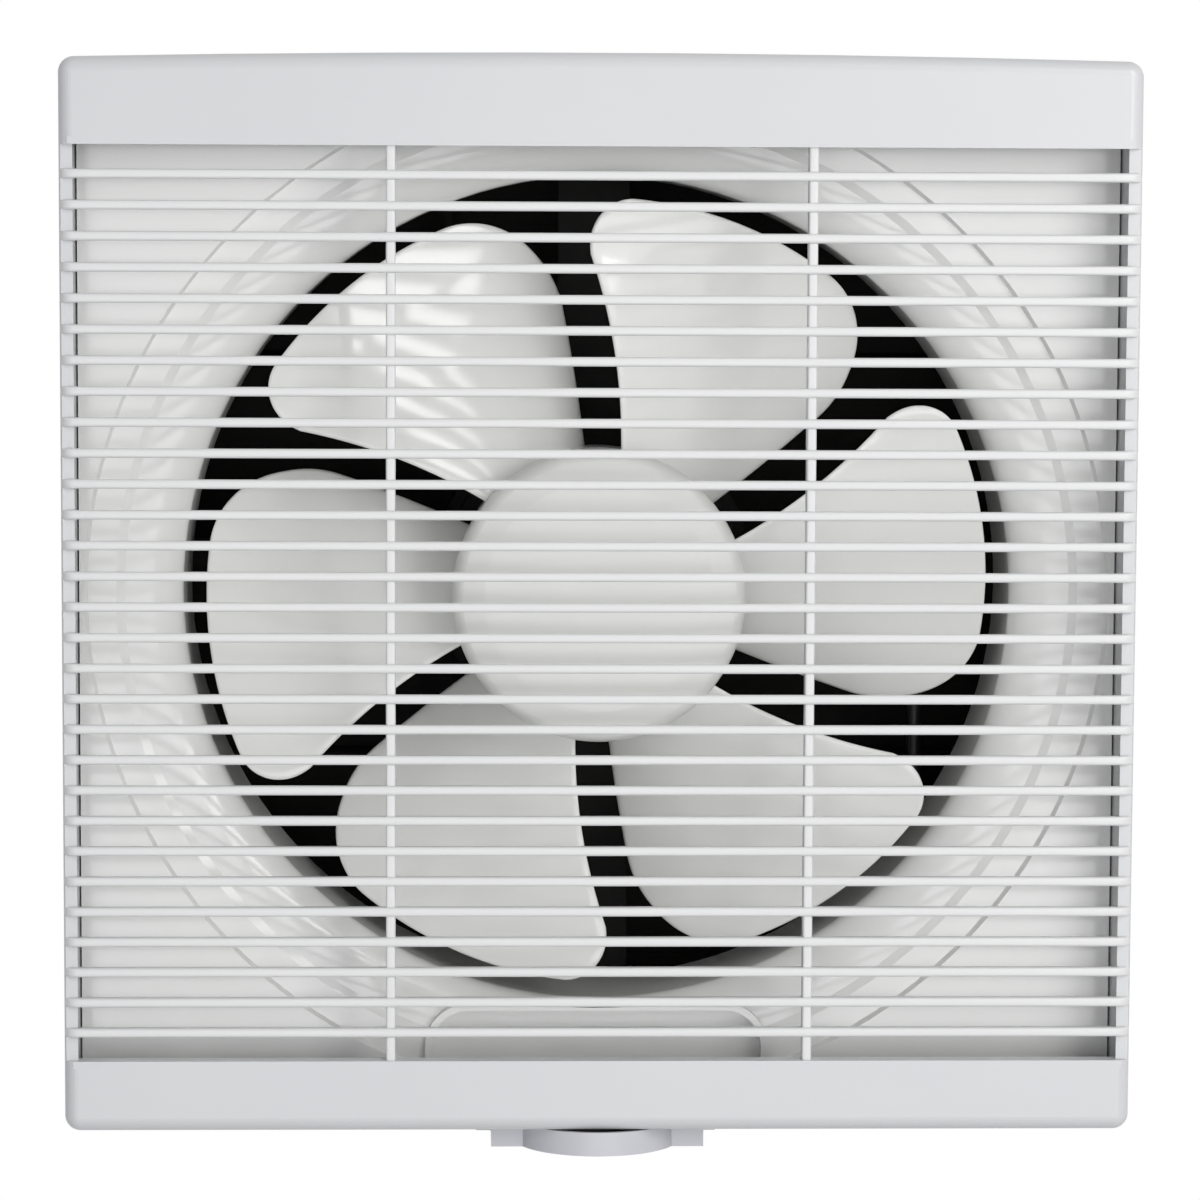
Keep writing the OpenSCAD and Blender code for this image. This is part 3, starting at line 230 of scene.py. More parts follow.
def addBump(tree, shader, source, sourceName, strength, depth):
    # depth in metres
    bump = addNode(tree, "ShaderNodeBump", 50, -350)
    bump.inputs["Strength"].default_value = strength
    bump.inputs["Distance"].default_value = depth
    wire(tree, source, sourceName, bump, "Height")
    wire(tree, bump, "Normal", shader, "Normal")


plasticSurface = {
    "dustTone": tone(150, 143, 132), "dustPatches": 60.0,
    "sheenBelow": 0.015, "sheenAbove": 0.02, "grainDepth": 0.02,
}


def mouldedPlastic(name, look):
    # plastic from a mould: fine grain, faint clouds, and dust on what looks up
    material, tree, shader, coords = startMaterial(name)
    grain = placeGroup(tree, mouldedGrain, -1000, 0,
                       Grain_Scale=look["grainScale"], Cloud_Scale=look["cloudScale"])
    wire(tree, coords, "Object", grain, "Vector")
    dust = placeGroup(tree, settledDust, -1000, 300,
                      Amount=look["dust"], Patch_Scale=plasticSurface["dustPatches"])
    wire(tree, coords, "Object", dust, "Vector")
    wire(tree, coords, "Normal", dust, "Normal")
    clouded = mixColours(tree, -600, 200, look["colour"], look["shade"])
    strength = spreadValue(tree, -800, 200, 0.0, 1.0)
    wire(tree, grain, "Cloud", strength, "Value")
    wire(tree, strength, "Result", clouded, "Factor")
    dusted = mixColours(tree, -300, 200, look["colour"], plasticSurface["dustTone"])
    wire(tree, clouded, mixedColour, dusted, firstColour)
    wire(tree, dust, "Mask", dusted, "Factor")
    wire(tree, dusted, mixedColour, shader, "Base Color")
    sheen = spreadValue(tree, -300, -50, look["roughness"] - plasticSurface["sheenBelow"],
                        look["roughness"] + plasticSurface["sheenAbove"])
    wire(tree, grain, "Cloud", sheen, "Value")
    wire(tree, sheen, "Result", shader, "Roughness")
    addBump(tree, shader, grain, "Height", look["bump"], plasticSurface["grainDepth"] * mm)
    shader.inputs["IOR"].default_value = look["ior"]
    shader.inputs["Specular IOR Level"].default_value = look.get("gloss", 0.5)
    return material


# painted shade: the panel is the same white plastic as the dish, wheel and cap, written darker to offset
# the full light on its front
def panelPlastic():
    return mouldedPlastic("panelWhite", {
        "colour": tone(190, 190, 192), "shade": tone(187, 188, 190), "roughness": 0.33, "dust": 0.03,
        "grainScale": 2600.0, "cloudScale": 9.0, "bump": 0.12, "ior": 1.49,
    })


# painted shade: the slats are the same white plastic, written darker to offset the full light on their
# fronts
def slatPlastic():
    return mouldedPlastic("slatWhite", {
        "colour": tone(203, 203, 203), "shade": tone(200, 200, 201), "roughness": 0.36, "dust": 0.05,
        "grainScale": 2600.0, "cloudScale": 12.0, "bump": 0.1, "ior": 1.49,
    })


# painted light: the same white plastic as the panel, written lighter to make up for the shade the slats
# cast on the dish
def orificePlastic():
    return mouldedPlastic("orificeWhite", {
        "colour": tone(236, 236, 235), "shade": tone(234, 234, 232), "roughness": 0.14, "dust": 0.03,
        "grainScale": 2200.0, "cloudScale": 14.0, "bump": 0.05, "ior": 1.49,
    })


# painted light: the same white plastic as the panel, written lighter to make up for the shade the slats
# cast on the wheel
def wheelPlastic():
    return mouldedPlastic("wheelWhite", {
        "colour": tone(241, 241, 239), "shade": tone(239, 239, 236), "roughness": 0.1, "dust": 0.03,
        "grainScale": 1800.0, "cloudScale": 22.0, "bump": 0.1, "ior": 1.5,
    })


# painted light: the same white plastic as the panel, written lighter to make up for the shade the slats
# cast on the cap
def capPlastic():
    return mouldedPlastic("capWhite", {
        "colour": tone(226, 226, 223), "shade": tone(224, 224, 221), "roughness": 0.32, "dust": 0.02,
        "grainScale": 2200.0, "cloudScale": 16.0, "bump": 0.1, "ior": 1.5,
    })


# painted shade: the drip cup sits in shade under the panel's bottom edge, and its plastic is written a
# darker, cooler grey for that shade
def cupPlastic():
    return mouldedPlastic("cupPaintedShade", {
        "colour": tone(180, 180, 186), "shade": tone(177, 177, 183), "roughness": 0.34, "dust": 0.05,
        "grainScale": 2600.0, "cloudScale": 30.0, "bump": 0.12, "ior": 1.49,
    })


def boxPlastic():
    return mouldedPlastic("boxWhite", {
        "colour": tone(214, 213, 207), "shade": tone(206, 204, 196), "roughness": 0.42, "dust": 0.12,
        "grainScale": 1500.0, "cloudScale": 30.0, "bump": 0.3, "ior": 1.5,
    })


def clipNylon():
    return mouldedPlastic("clipNylon", {
        "colour": tone(222, 218, 203), "shade": tone(212, 207, 190), "roughness": 0.45, "dust": 0.1,
        "grainScale": 1200.0, "cloudScale": 60.0, "bump": 0.2, "ior": 1.52,
    })


# partly painted shade: dark plastic, written as dark and brown as the shade inside the closed box, so the
# gaps between the blades read black
def ductPlastic():
    return mouldedPlastic("ductBlack", {
        "colour": tone(25, 22, 20), "shade": tone(20, 17, 15), "roughness": 0.7, "dust": 0.02,
        "grainScale": 700.0, "cloudScale": 12.0, "bump": 0.5, "ior": 1.45, "gloss": 0.2,
    })


# partly painted shade: dark plastic, written as dark and brown as the shade inside the closed box, so the
# gaps between the blades read black
def flapPlastic():
    return mouldedPlastic("flapBlack", {
        "colour": tone(26, 23, 21), "shade": tone(20, 17, 16), "roughness": 0.6, "dust": 0.03,
        "grainScale": 900.0, "cloudScale": 18.0, "bump": 0.45, "ior": 1.45, "gloss": 0.2,
    })


def terminalPlastic():
    return mouldedPlastic("terminalGrey", {
        "colour": tone(150, 151, 152), "shade": tone(138, 139, 141), "roughness": 0.5, "dust": 0.08,
        "grainScale": 1200.0, "cloudScale": 60.0, "bump": 0.25, "ior": 1.5,
    })


def capacitorPlastic():
    return mouldedPlastic("capacitorGrey", {
        "colour": tone(92, 94, 98), "shade": tone(80, 82, 86), "roughness": 0.38, "dust": 0.08,
        "grainScale": 1000.0, "cloudScale": 50.0, "bump": 0.3, "ior": 1.5,
    })


def grommetRubber():
    return mouldedPlastic("grommetRubber", {
        "colour": tone(38, 37, 36), "shade": tone(30, 29, 28), "roughness": 0.72, "dust": 0.18,
        "grainScale": 1600.0, "cloudScale": 90.0, "bump": 0.5, "ior": 1.45,
    })


def leadJacket():
    return mouldedPlastic("leadJacket", {
        "colour": tone(34, 33, 33), "shade": tone(27, 26, 26), "roughness": 0.5, "dust": 0.05,
        "grainScale": 1400.0, "cloudScale": 70.0, "bump": 0.25, "ior": 1.5,
    })


metalSurface = {"sheenBelow": 0.06, "sheenAbove": 0.1, "lineDepth": 0.03}


def workedMetal(name, look):
    # metal with drawn-out lines from the way it was worked, and patches that have gone dull
    material, tree, shader, coords = startMaterial(name)
    lines = placeGroup(tree, stretchedLines, -1000, 0,
                       Stretch=look["stretch"], Fineness=look["fineness"])
    wire(tree, coords, "Object", lines, "Vector")
    wear = placeGroup(tree, handlingWear, -1000, 300, Patch_Scale=look["patchScale"], Spread=look["wear"])
    wire(tree, coords, "Object", wear, "Vector")
    lined = mixColours(tree, -600, 200, look["colour"], look["shade"])
    amount = spreadValue(tree, -800, 100, 0.0, 1.0)
    wire(tree, lines, "Line", amount, "Value")
    wire(tree, amount, "Result", lined, "Factor")
    worn = mixColours(tree, -300, 200, look["colour"], look["tarnish"])
    wire(tree, lined, mixedColour, worn, firstColour)
    wire(tree, wear, "Mask", worn, "Factor")
    wire(tree, worn, mixedColour, shader, "Base Color")
    sheen = spreadValue(tree, -300, -50, look["roughness"] - metalSurface["sheenBelow"],
                        look["roughness"] + metalSurface["sheenAbove"])
    wire(tree, lines, "Line", sheen, "Value")
    wire(tree, sheen, "Result", shader, "Roughness")
    addBump(tree, shader, lines, "Line", look["bump"], metalSurface["lineDepth"] * mm)
    shader.inputs["Metallic"].default_value = 1.0
    return material


def screwSteel():
    return workedMetal("screwSteel", {
        "colour": tone(205, 206, 208), "shade": tone(182, 183, 186), "tarnish": tone(150, 148, 143),
        "stretch": (1.0, 1.0, 1.0), "fineness": 900.0, "patchScale": 400.0, "wear": 0.35,
        "roughness": 0.3, "bump": 0.15,
    })


def shaftSteel():
    return workedMetal("shaftSteel", {
        "colour": tone(208, 209, 212), "shade": tone(186, 187, 191), "tarnish": tone(160, 156, 149),
        "stretch": (0.1, 6.0, 0.1), "fineness": 900.0, "patchScale": 120.0, "wear": 0.25,
        "roughness": 0.22, "bump": 0.2,
    })


def zincPlate():
    return workedMetal("zincPlate", {
        "colour": tone(186, 189, 196), "shade": tone(166, 169, 178), "tarnish": tone(176, 168, 142),
        "stretch": (1.0, 1.0, 1.0), "fineness": 700.0, "patchScale": 300.0, "wear": 0.4,
        "roughness": 0.36, "bump": 0.2,
    })


def stackedSheets():
    return workedMetal("stackedSheets", {
        "colour": tone(140, 141, 145), "shade": tone(78, 78, 82), "tarnish": tone(112, 96, 84),
        "stretch": (0.02, 1.0, 0.02), "fineness": 1500.0, "patchScale": 90.0, "wear": 0.3,
        "roughness": 0.45, "bump": 0.9,
    })


def castAluminium():
    return workedMetal("castAluminium", {
        "colour": tone(205, 206, 208), "shade": tone(182, 184, 187), "tarnish": tone(160, 161, 165),
        "stretch": (1.0, 1.0, 1.0), "fineness": 420.0, "patchScale": 200.0, "wear": 0.3,
        "roughness": 0.42, "bump": 0.5,
    })


def woundCopper():
    return workedMetal("woundCopper", {
        "colour": tone(196, 116, 70), "shade": tone(142, 70, 38), "tarnish": tone(120, 52, 30),
        "stretch": (0.25, 1.0, 0.25), "fineness": 1400.0, "patchScale": 150.0, "wear": 0.3,
        "roughness": 0.3, "bump": 1.0,
    })


def sinteredBronze():
    return workedMetal("sinteredBronze", {
        "colour": tone(196, 160, 98), "shade": tone(164, 128, 72), "tarnish": tone(128, 96, 56),
        "stretch": (1.0, 1.0, 1.0), "fineness": 1800.0, "patchScale": 200.0, "wear": 0.35,
        "roughness": 0.4, "bump": 0.5,
    })


def blackPaint():
    # stove paint over pressed steel, thin at rubbed places; its black is written as dark as the shade deep
    # inside the box, partly painted shade
    look = {
        "paint": tone(18, 17, 16), "fade": tone(24, 22, 21), "rubbed": tone(44, 42, 40),
        "roughness": 0.62, "sheenSpread": 0.08, "gloss": 0.2, "bump": 0.35, "peelDepth": 0.03,
        "peelScale": 420.0, "cloudScale": 25.0, "patchScale": 90.0, "wear": 0.32,
    }
    material, tree, shader, coords = startMaterial("blackPaint")
    grain = placeGroup(tree, mouldedGrain, -1000, 0,
                       Grain_Scale=look["peelScale"], Cloud_Scale=look["cloudScale"])
    wire(tree, coords, "Object", grain, "Vector")
    wear = placeGroup(tree, handlingWear, -1000, 300, Patch_Scale=look["patchScale"], Spread=look["wear"])
    wire(tree, coords, "Object", wear, "Vector")
    clouded = mixColours(tree, -600, 200, look["paint"], look["fade"])
    wire(tree, grain, "Cloud", clouded, "Factor")
    worn = mixColours(tree, -300, 200, look["paint"], look["rubbed"])
    wire(tree, clouded, mixedColour, worn, firstColour)
    wire(tree, wear, "Mask", worn, "Factor")
    wire(tree, worn, mixedColour, shader, "Base Color")
    sheen = spreadValue(tree, -300, -50, look["roughness"] - look["sheenSpread"],
                        look["roughness"] + look["sheenSpread"])
    wire(tree, grain, "Cloud", sheen, "Value")
    wire(tree, sheen, "Result", shader, "Roughness")
    addBump(tree, shader, grain, "Height", look["bump"], look["peelDepth"] * mm)
    shader.inputs["Specular IOR Level"].default_value = look["gloss"]
    return material


finishMakers = [
    panelPlastic, slatPlastic, orificePlastic, wheelPlastic, capPlastic, cupPlastic, boxPlastic,
    clipNylon, ductPlastic, flapPlastic, terminalPlastic, capacitorPlastic, grommetRubber, leadJacket,
    screwSteel, shaftSteel, zincPlate, stackedSheets, castAluminium, woundCopper, sinteredBronze,
    blackPaint,
]
finishes = {}
for makeFinish in finishMakers:
    finish = makeFinish()
    finishes[finish.name] = finish

nodeFinish = {
    "panelWhite": ["grille_surround"],
    "slatWhite": ["grille_slats"],
    "orificeWhite": ["orifice_plate"],
    "wheelWhite": ["fan_wheel"],
    "capWhite": ["spinner_cap"],
    "cupPaintedShade": ["drip_cup", "cup_rails"],
    "boxWhite": ["terminal_box", "terminal_box_cover"],
    "clipNylon": ["lead_clips"],
    "ductBlack": ["duct_frame", "duct_sleeve"],
    "flapBlack": ["shutter_frame", "link_bar", "flap_1", "flap_2", "flap_3", "flap_4"],
    "terminalGrey": ["terminal_block"],
    "capacitorGrey": ["capacitor"],
    "grommetRubber": ["cable_grommet"],
    "leadJacket": ["motor_lead"],
    "screwSteel": ["orifice_screws", "motor_screws", "bracket_screws", "cover_screws", "box_screws",
                   "clip_screws", "rail_screws", "shutter_screws", "nut_washer"],
    "shaftSteel": ["motor_shaft"],
    "zincPlate": ["wheel_nut", "drive_pin", "motor_nuts"],
    "stackedSheets": ["rotor_core", "stator_core"],
    "castAluminium": ["rotor_cage"],
    "woundCopper": ["stator_winding"],
    "sinteredBronze": ["front_bearing", "rear_bearing", "thrust_washers", "terminal_screws"],
    "blackPaint": ["motor_front_shell", "motor_rear_shell", "motor_bracket"],
}

for finishName, members in nodeFinish.items():
    for member in members:
        mesh = nodes[member].data
        mesh.materials.clear()
        mesh.materials.append(finishes[finishName])
print("finishes set on", sum(len(members) for members in nodeFinish.values()), "nodes")


# Mesh helpers

def newPiece(name, mesh, finish, body, standsFor=()):
    piece = bpy.data.objects.new(name, mesh)
    bpy.context.scene.collection.objects.link(piece)
    mesh.materials.append(finishes[finish])
    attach(piece, body)
    for node in standsFor:
        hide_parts(node)
    return piece


def smoothMesh(mesh, angle):
    mesh.shade_smooth()
    mesh.set_sharp_from_angle(angle=math.radians(angle))


def joinRings(bm, rings):
    # quads between one ring of vertices and the next
    count = len(rings[0])
    for here, there in zip(rings, rings[1:]):
        for i in range(count):
            j = (i + 1) % count
            bm.faces.new((here[i], here[j], there[j], there[i]))


def capEnds(bm, rings):
    bm.faces.new(rings[0])
    bm.faces.new(list(reversed(rings[-1])))


def finishMesh(bm, name):
    bmesh.ops.recalc_face_normals(bm, faces=bm.faces)
    mesh = bpy.data.meshes.new(name)
    bm.to_mesh(mesh)
    bm.free()
    return mesh


def lathe(bm, profile, steps):
    # a closed outline of radius and depth turned around the fan's axis
    rings = []
    for k in range(steps):
        angle = 2 * math.pi * k / steps
        rings.append([bm.verts.new((r * math.cos(angle), y, r * math.sin(angle))) for r, y in profile])
    rings.append(rings[0])
    joinRings(bm, rings)


def addBlock(bm, low, high):
    block = bmesh.ops.create_cube(bm, size=1.0)["verts"]
    bmesh.ops.scale(bm, vec=[(b - a) * mm for a, b in zip(low, high)], verts=block)
    bmesh.ops.translate(bm, vec=[(a + b) / 2 * mm for a, b in zip(low, high)], verts=block)
    return block


def cutBlock(mesh, low, high):
    # takes a plain block, from one corner to the other, out of a mesh and gives back the new mesh
    bm = bmesh.new()
    addBlock(bm, low, high)
    block = bpy.data.meshes.new("cutBlock")
    bm.to_mesh(block)
    bm.free()
    body = bpy.data.objects.new("cutBody", mesh)
    tool = bpy.data.objects.new("cutTool", block)
    for item in (body, tool):
        bpy.context.scene.collection.objects.link(item)
    cut = body.modifiers.new("cut", "BOOLEAN")
    cut.operation = "DIFFERENCE"
    cut.solver = "EXACT"
    cut.use_self = True
    cut.object = tool
    ready = body.evaluated_get(bpy.context.evaluated_depsgraph_get())
    result = bpy.data.meshes.new_from_object(ready)
    for item in (body, tool):
        bpy.data.objects.remove(item)
    return result


softEdge = {"sharpFrom": 40, "segments": 3, "flatWeight": 80, "weldGap": 0.01}  # degrees, mm


def soften(piece, radius, sharpFrom=softEdge["sharpFrom"]):
    # mould radii on the sharp edges
    bevel = piece.modifiers.new("mouldRadius", "BEVEL")
    bevel.width = radius * mm
    bevel.segments = softEdge["segments"]
    bevel.limit_method = "ANGLE"
    bevel.angle_limit = math.radians(sharpFrom)
    bevel.use_clamp_overlap = True
    flatten = piece.modifiers.new("evenShading", "WEIGHTED_NORMAL")
    flatten.keep_sharp = False
    flatten.weight = softEdge["flatWeight"]


# The fan wheel: hub, boss, ribs and six pitched blades

wheelShape = {
    "blades": 6, "turn": 7.3, "tipRadius": 127.0,
    "hubRadius": 46.0, "hubWall": 2.2, "hubFront": -12.0, "hubBack": 24.0, "hubSteps": 144,
    "webDepth": 2.5, "bossRadius": 9.0, "boreRadius": 4.03, "bossProud": 2.0, "bossShort": 4.0,
    "capSpigot": 44.8, "spigotWall": 2.0, "spigotLength": 5.0,
    "ribHeight": 8.0, "ribThickness": 1.6, "ribBite": 0.5, "slotHalf": 1.35, "slotDepth": 4.0,
    "hubEdge": 0.35, "hubSharpFrom": 35, "bladeSharpFrom": 60,
    "thickness": 2.2, "rootDepth": 30.0, "tipDepth": 36.0, "rootSetBack": 2.4, "lean": 3.0,
    "straightPitch": 0.6, "curvedPitch": 0.4,
    "leadRoot": 13.8, "leadTip": 24.3, "trailRoot": 32.6, "trailTip": 29.6, "fullWidthAt": 0.86,
    "leadCorner": 15.4, "trailCorner": 35.6,
    "rows": 44, "columns": 40, "chord": 90.0, "weldGap": 0.004,
    "tipRows": (0.5, 0.12, 0.0), "edgeColumns": (0.0, 0.12, 0.45),
}


def roundOff(r, corner):
    # how far a rounded corner eats into the blade's edge at radius r, in degrees
    d = max(0.0, r - (wheelShape["tipRadius"] - corner))
    return (corner - math.sqrt(max(0.0, corner * corner - d * d))) * 180 / (math.pi * r)


def fullEdges(r):
    # angles of the leading and trailing edge before their corners are rounded
    wheel = wheelShape
    reach = wheel["fullWidthAt"] * wheel["tipRadius"] - wheel["hubRadius"]
    share = min(1.0, (r - wheel["hubRadius"]) / reach)
    lead = wheel["leadRoot"] + (wheel["leadTip"] - wheel["leadRoot"]) * share
    trail = wheel["trailRoot"] + (wheel["trailTip"] - wheel["trailRoot"]) * share
    return lead, trail


def acrossBlade(count, rounded):
    # shares from 0 to 1 across the blade, with a few extra ones in the rounded part of both edges
    inner = [rounded + (1 - 2 * rounded) * i / count for i in range(count + 1)]
    ends = [rounded * part for part in wheelShape["edgeColumns"]]
    return ends + inner + [1 - share for share in reversed(ends)]


def bladeRoot():
    return wheelShape["hubRadius"] - wheelShape["hubWall"] / 2


def bladeSide(r, share, back):
    # angle and depth of a point on the blade's front or back face
    wheel = wheelShape
    fullLead, fullTrail = fullEdges(r)
    lead = fullLead - roundOff(r, wheel["leadCorner"])
    trail = -fullTrail + roundOff(r, wheel["trailCorner"])
    angle = lead - (lead - trail) * share
    across = (fullLead - angle) / (fullLead + fullTrail)
    outward = (r - bladeRoot()) / (wheel["tipRadius"] - bladeRoot())
    depth = wheel["rootDepth"] + (wheel["tipDepth"] - wheel["rootDepth"]) * min(1.0, 2 * outward)
    pitch = wheel["straightPitch"] * across + wheel["curvedPitch"] * across * across
    y = wheel["hubFront"] + wheel["rootSetBack"] - wheel["lean"] * outward + depth * pitch
    half = wheel["thickness"] / 2
    edge = min(share, 1 - share) * math.radians(lead - trail) * r
    edge = min(edge, wheel["tipRadius"] - r, half)
    bulge = half * math.sqrt(max(0.0, 1 - (1 - edge / half) ** 2))
    return angle, y + half + (bulge if back else -bulge)


def bladeFace(bm, turn, back):
    # the grid of points of one face, from root to tip and from leading to trailing edge
    wheel = wheelShape
    tip = wheel["tipRadius"]
    reach = tip - bladeRoot()
    radii = [bladeRoot() + reach * math.sin(math.pi / 2 * i / wheel["rows"]) for i in range(wheel["rows"])]
    radii = sorted(radii + [tip - inset for inset in wheel["tipRows"]])
    grid = []
    for r in radii:
        row = []
        for share in acrossBlade(wheel["columns"], wheel["thickness"] / 2 / wheel["chord"]):
            angle, y = bladeSide(r, share, back)
            a = math.radians(angle + turn)
            row.append(bm.verts.new((r * mm * math.cos(a), y * mm, r * mm * math.sin(a))))
        grid.append(row)
    return grid


def addBlade(bm, turn):
    front = bladeFace(bm, turn, False)
    rear = bladeFace(bm, turn, True)
    columns = len(front[0])
    for i in range(len(front) - 1):
        for j in range(columns - 1):
            bm.faces.new((front[i][j], front[i + 1][j], front[i + 1][j + 1], front[i][j + 1]))
            bm.faces.new((rear[i][j], rear[i][j + 1], rear[i + 1][j + 1], rear[i + 1][j]))
    for j in range(columns - 1):
        bm.faces.new((front[0][j], front[0][j + 1], rear[0][j + 1], rear[0][j]))


def makeWheelBlades():
    bm = bmesh.new()
    for k in range(wheelShape["blades"]):
        addBlade(bm, wheelShape["turn"] + 360 / wheelShape["blades"] * k)
    bmesh.ops.remove_doubles(bm, verts=bm.verts, dist=wheelShape["weldGap"] * mm)
    mesh = finishMesh(bm, "wheelBlades")
    smoothMesh(mesh, wheelShape["bladeSharpFrom"])
    return newPiece("wheelBlades", mesh, "wheelWhite", "rotor", ["fan_wheel"])


def hubOutline():
    # radius and depth: down the outside, back through the hollow, and around the boss and cap spigot
    wheel = wheelShape
    front, back = wheel["hubFront"], wheel["hubBack"]
    hub, boss, bore = wheel["hubRadius"], wheel["bossRadius"], wheel["boreRadius"]
    inside = hub - wheel["hubWall"]
    web = front + wheel["webDepth"]
    bossBack = back - wheel["bossShort"]
    bossFront = front - wheel["bossProud"]
    spigot = wheel["capSpigot"]
    spigotInside = spigot - wheel["spigotWall"]
    spigotFront = front - wheel["spigotLength"]
    return [
        (hub, front), (hub, back), (inside, back), (inside, web), (boss, web),
        (boss, bossBack), (bore, bossBack), (bore, bossFront), (boss, bossFront), (boss, front),
        (spigotInside, front), (spigotInside, spigotFront), (spigot, spigotFront), (spigot, front),
    ]


def addHubRibs(bm):
    # thin ribs inside the hub, from the boss to the wall, each let into what it joins
    wheel = wheelShape
    bite, half = wheel["ribBite"], wheel["ribThickness"] / 2
    web = wheel["hubFront"] + wheel["webDepth"]
    low = (wheel["bossRadius"] - bite, web - bite, -half)
    high = (wheel["hubRadius"] - wheel["hubWall"] + bite, web + wheel["ribHeight"], half)
    for k in range(wheel["blades"]):
        rib = addBlock(bm, low, high)
        turn = Matrix.Rotation(math.radians(360 / wheel["blades"] * k), 4, "Y")
        bmesh.ops.transform(bm, matrix=turn, verts=rib)


def cutPinSlot(mesh):
    # the drive pin's slot goes across the boss's rear end
    wheel = wheelShape
    spare = 1.0
    reach = wheel["bossRadius"] + spare
    end = wheel["hubBack"] - wheel["bossShort"]
    return cutBlock(mesh, (-reach, end - wheel["slotDepth"], -wheel["slotHalf"]),
                    (reach, end + spare, wheel["slotHalf"]))


def makeWheelHub():
    bm = bmesh.new()
    lathe(bm, [(r * mm, y * mm) for r, y in hubOutline()], wheelShape["hubSteps"])
    addHubRibs(bm)
    mesh = cutPinSlot(finishMesh(bm, "wheelHub"))
    smoothMesh(mesh, wheelShape["hubSharpFrom"])
    piece = newPiece("wheelHub", mesh, "wheelWhite", "rotor", ["fan_wheel"])
    soften(piece, wheelShape["hubEdge"])
    return piece


makeWheelBlades()
makeWheelHub()
print("fan wheel built")


# The slats and their two ribs

slatShape = {
    "width": 340.0, "front": -40.0, "depth": 6.0, "edgeRadius": 4.5,
    "topBand": 27.3, "bottomBand": 22.9, "margin": 9.1, "count": 29,
    "frontThickness": 3.0, "backThickness": 2.0, "frontRounding": 0.95, "backRounding": 0.3,
    "cornerSteps": 5, "endSteps": 9, "endZone": 12.0, "middleZone": 30.0, "sharpFrom": 40,
    "ribPlace": 66.3, "ribWidth": 3.0, "ribFront": -39.0, "ribRounding": 0.7, "ribSteps": 4,
}


def slatSection():
    # outline of a slat across its length: depth and height, rounded at the front
    slat = slatShape
    points = []
    for corner in range(4):
        atFront = corner in (0, 3)
        side = 1 if corner in (0, 1) else -1
        radius = slat["frontRounding"] if atFront else slat["backRounding"]
        half = (slat["frontThickness"] if atFront else slat["backThickness"]) / 2
        y = slat["front"] + radius if atFront else slat["front"] + slat["depth"] - radius
        z = side * (half - radius)
        for step in range(slat["cornerSteps"] + 1):
            angle = math.radians(180 - 90 * corner - 90 * step / slat["cornerSteps"])
            points.append((y + radius * math.cos(angle), z + radius * math.sin(angle)))
    return points


def slatStations():
    # places along the slat: close together where the ends follow the panel's rounded edges
    half = slatShape["width"] / 2
    turns = [math.pi / 2 * k / slatShape["endSteps"] for k in range(slatShape["endSteps"] + 1)]
    steps = [half - slatShape["edgeRadius"] * (1 - math.cos(turn)) for turn in turns]
    steps += [half - slatShape["endZone"], slatShape["middleZone"]]
    return [-x for x in steps] + list(reversed(steps))


def addSlat(bm, z):
    slat = slatShape
    back = slat["front"] + slat["depth"]
    rings = []
    for x in slatStations():
        inset = slat["edgeRadius"] - (slat["width"] / 2 - abs(x))
        cut = slat["edgeRadius"] - math.sqrt(max(0.0, slat["edgeRadius"] ** 2 - max(0.0, inset) ** 2))
        keep = (slat["depth"] - cut) / slat["depth"]
        section = [(back + (y - back) * keep, z + height) for y, height in slatSection()]
        rings.append([bm.verts.new((x * mm, y * mm, h * mm)) for y, h in section])
    joinRings(bm, rings)
    capEnds(bm, rings)


def addRib(bm, x):
    slat = slatShape
    low = -slat["width"] / 2 + slat["bottomBand"]
    high = slat["width"] / 2 - slat["topBand"]
    back = slat["front"] + slat["depth"]
    half, radius = slat["ribWidth"] / 2, slat["ribRounding"]
    outline = [(x - half, back), (x + half, back)]
    quarter = [math.pi / 2 * step / slat["ribSteps"] for step in range(slat["ribSteps"] + 1)]
    for side, angles in ((1, quarter), (-1, reversed(quarter))):
        for angle in angles:
            across = x + side * (half - radius + radius * math.cos(angle))
            outline.append((across, slat["ribFront"] + radius - radius * math.sin(angle)))
    rings = [[bm.verts.new((px * mm, y * mm, z * mm)) for px, y in outline] for z in (low, high)]
    joinRings(bm, rings)
    capEnds(bm, rings)


def makeSlats():
    slat = slatShape
    low = -slat["width"] / 2 + slat["bottomBand"] + slat["margin"]
    high = slat["width"] / 2 - slat["topBand"] - slat["margin"]
    bm = bmesh.new()
    for i in range(slat["count"]):
        addSlat(bm, low + (high - low) * i / (slat["count"] - 1))
    for x in (-slat["ribPlace"], slat["ribPlace"]):
        addRib(bm, x)
    mesh = finishMesh(bm, "slatPanel")
    smoothMesh(mesh, slat["sharpFrom"])
    return newPiece("slatPanel", mesh, "slatWhite", "grille", ["grille_slats"])


makeSlats()
print("slats built")


# The lead to the motor: out of the terminal box's rear wall, up, along the right arm and into the shell

leadShape = {
    "diameter": 5.0, "roundness": 5, "stepsBetween": 6,
    "boxExit": (104.8, -115.5), "upright": 110.0, "armDepth": 63.2, "shellDepth": 70.0,
}


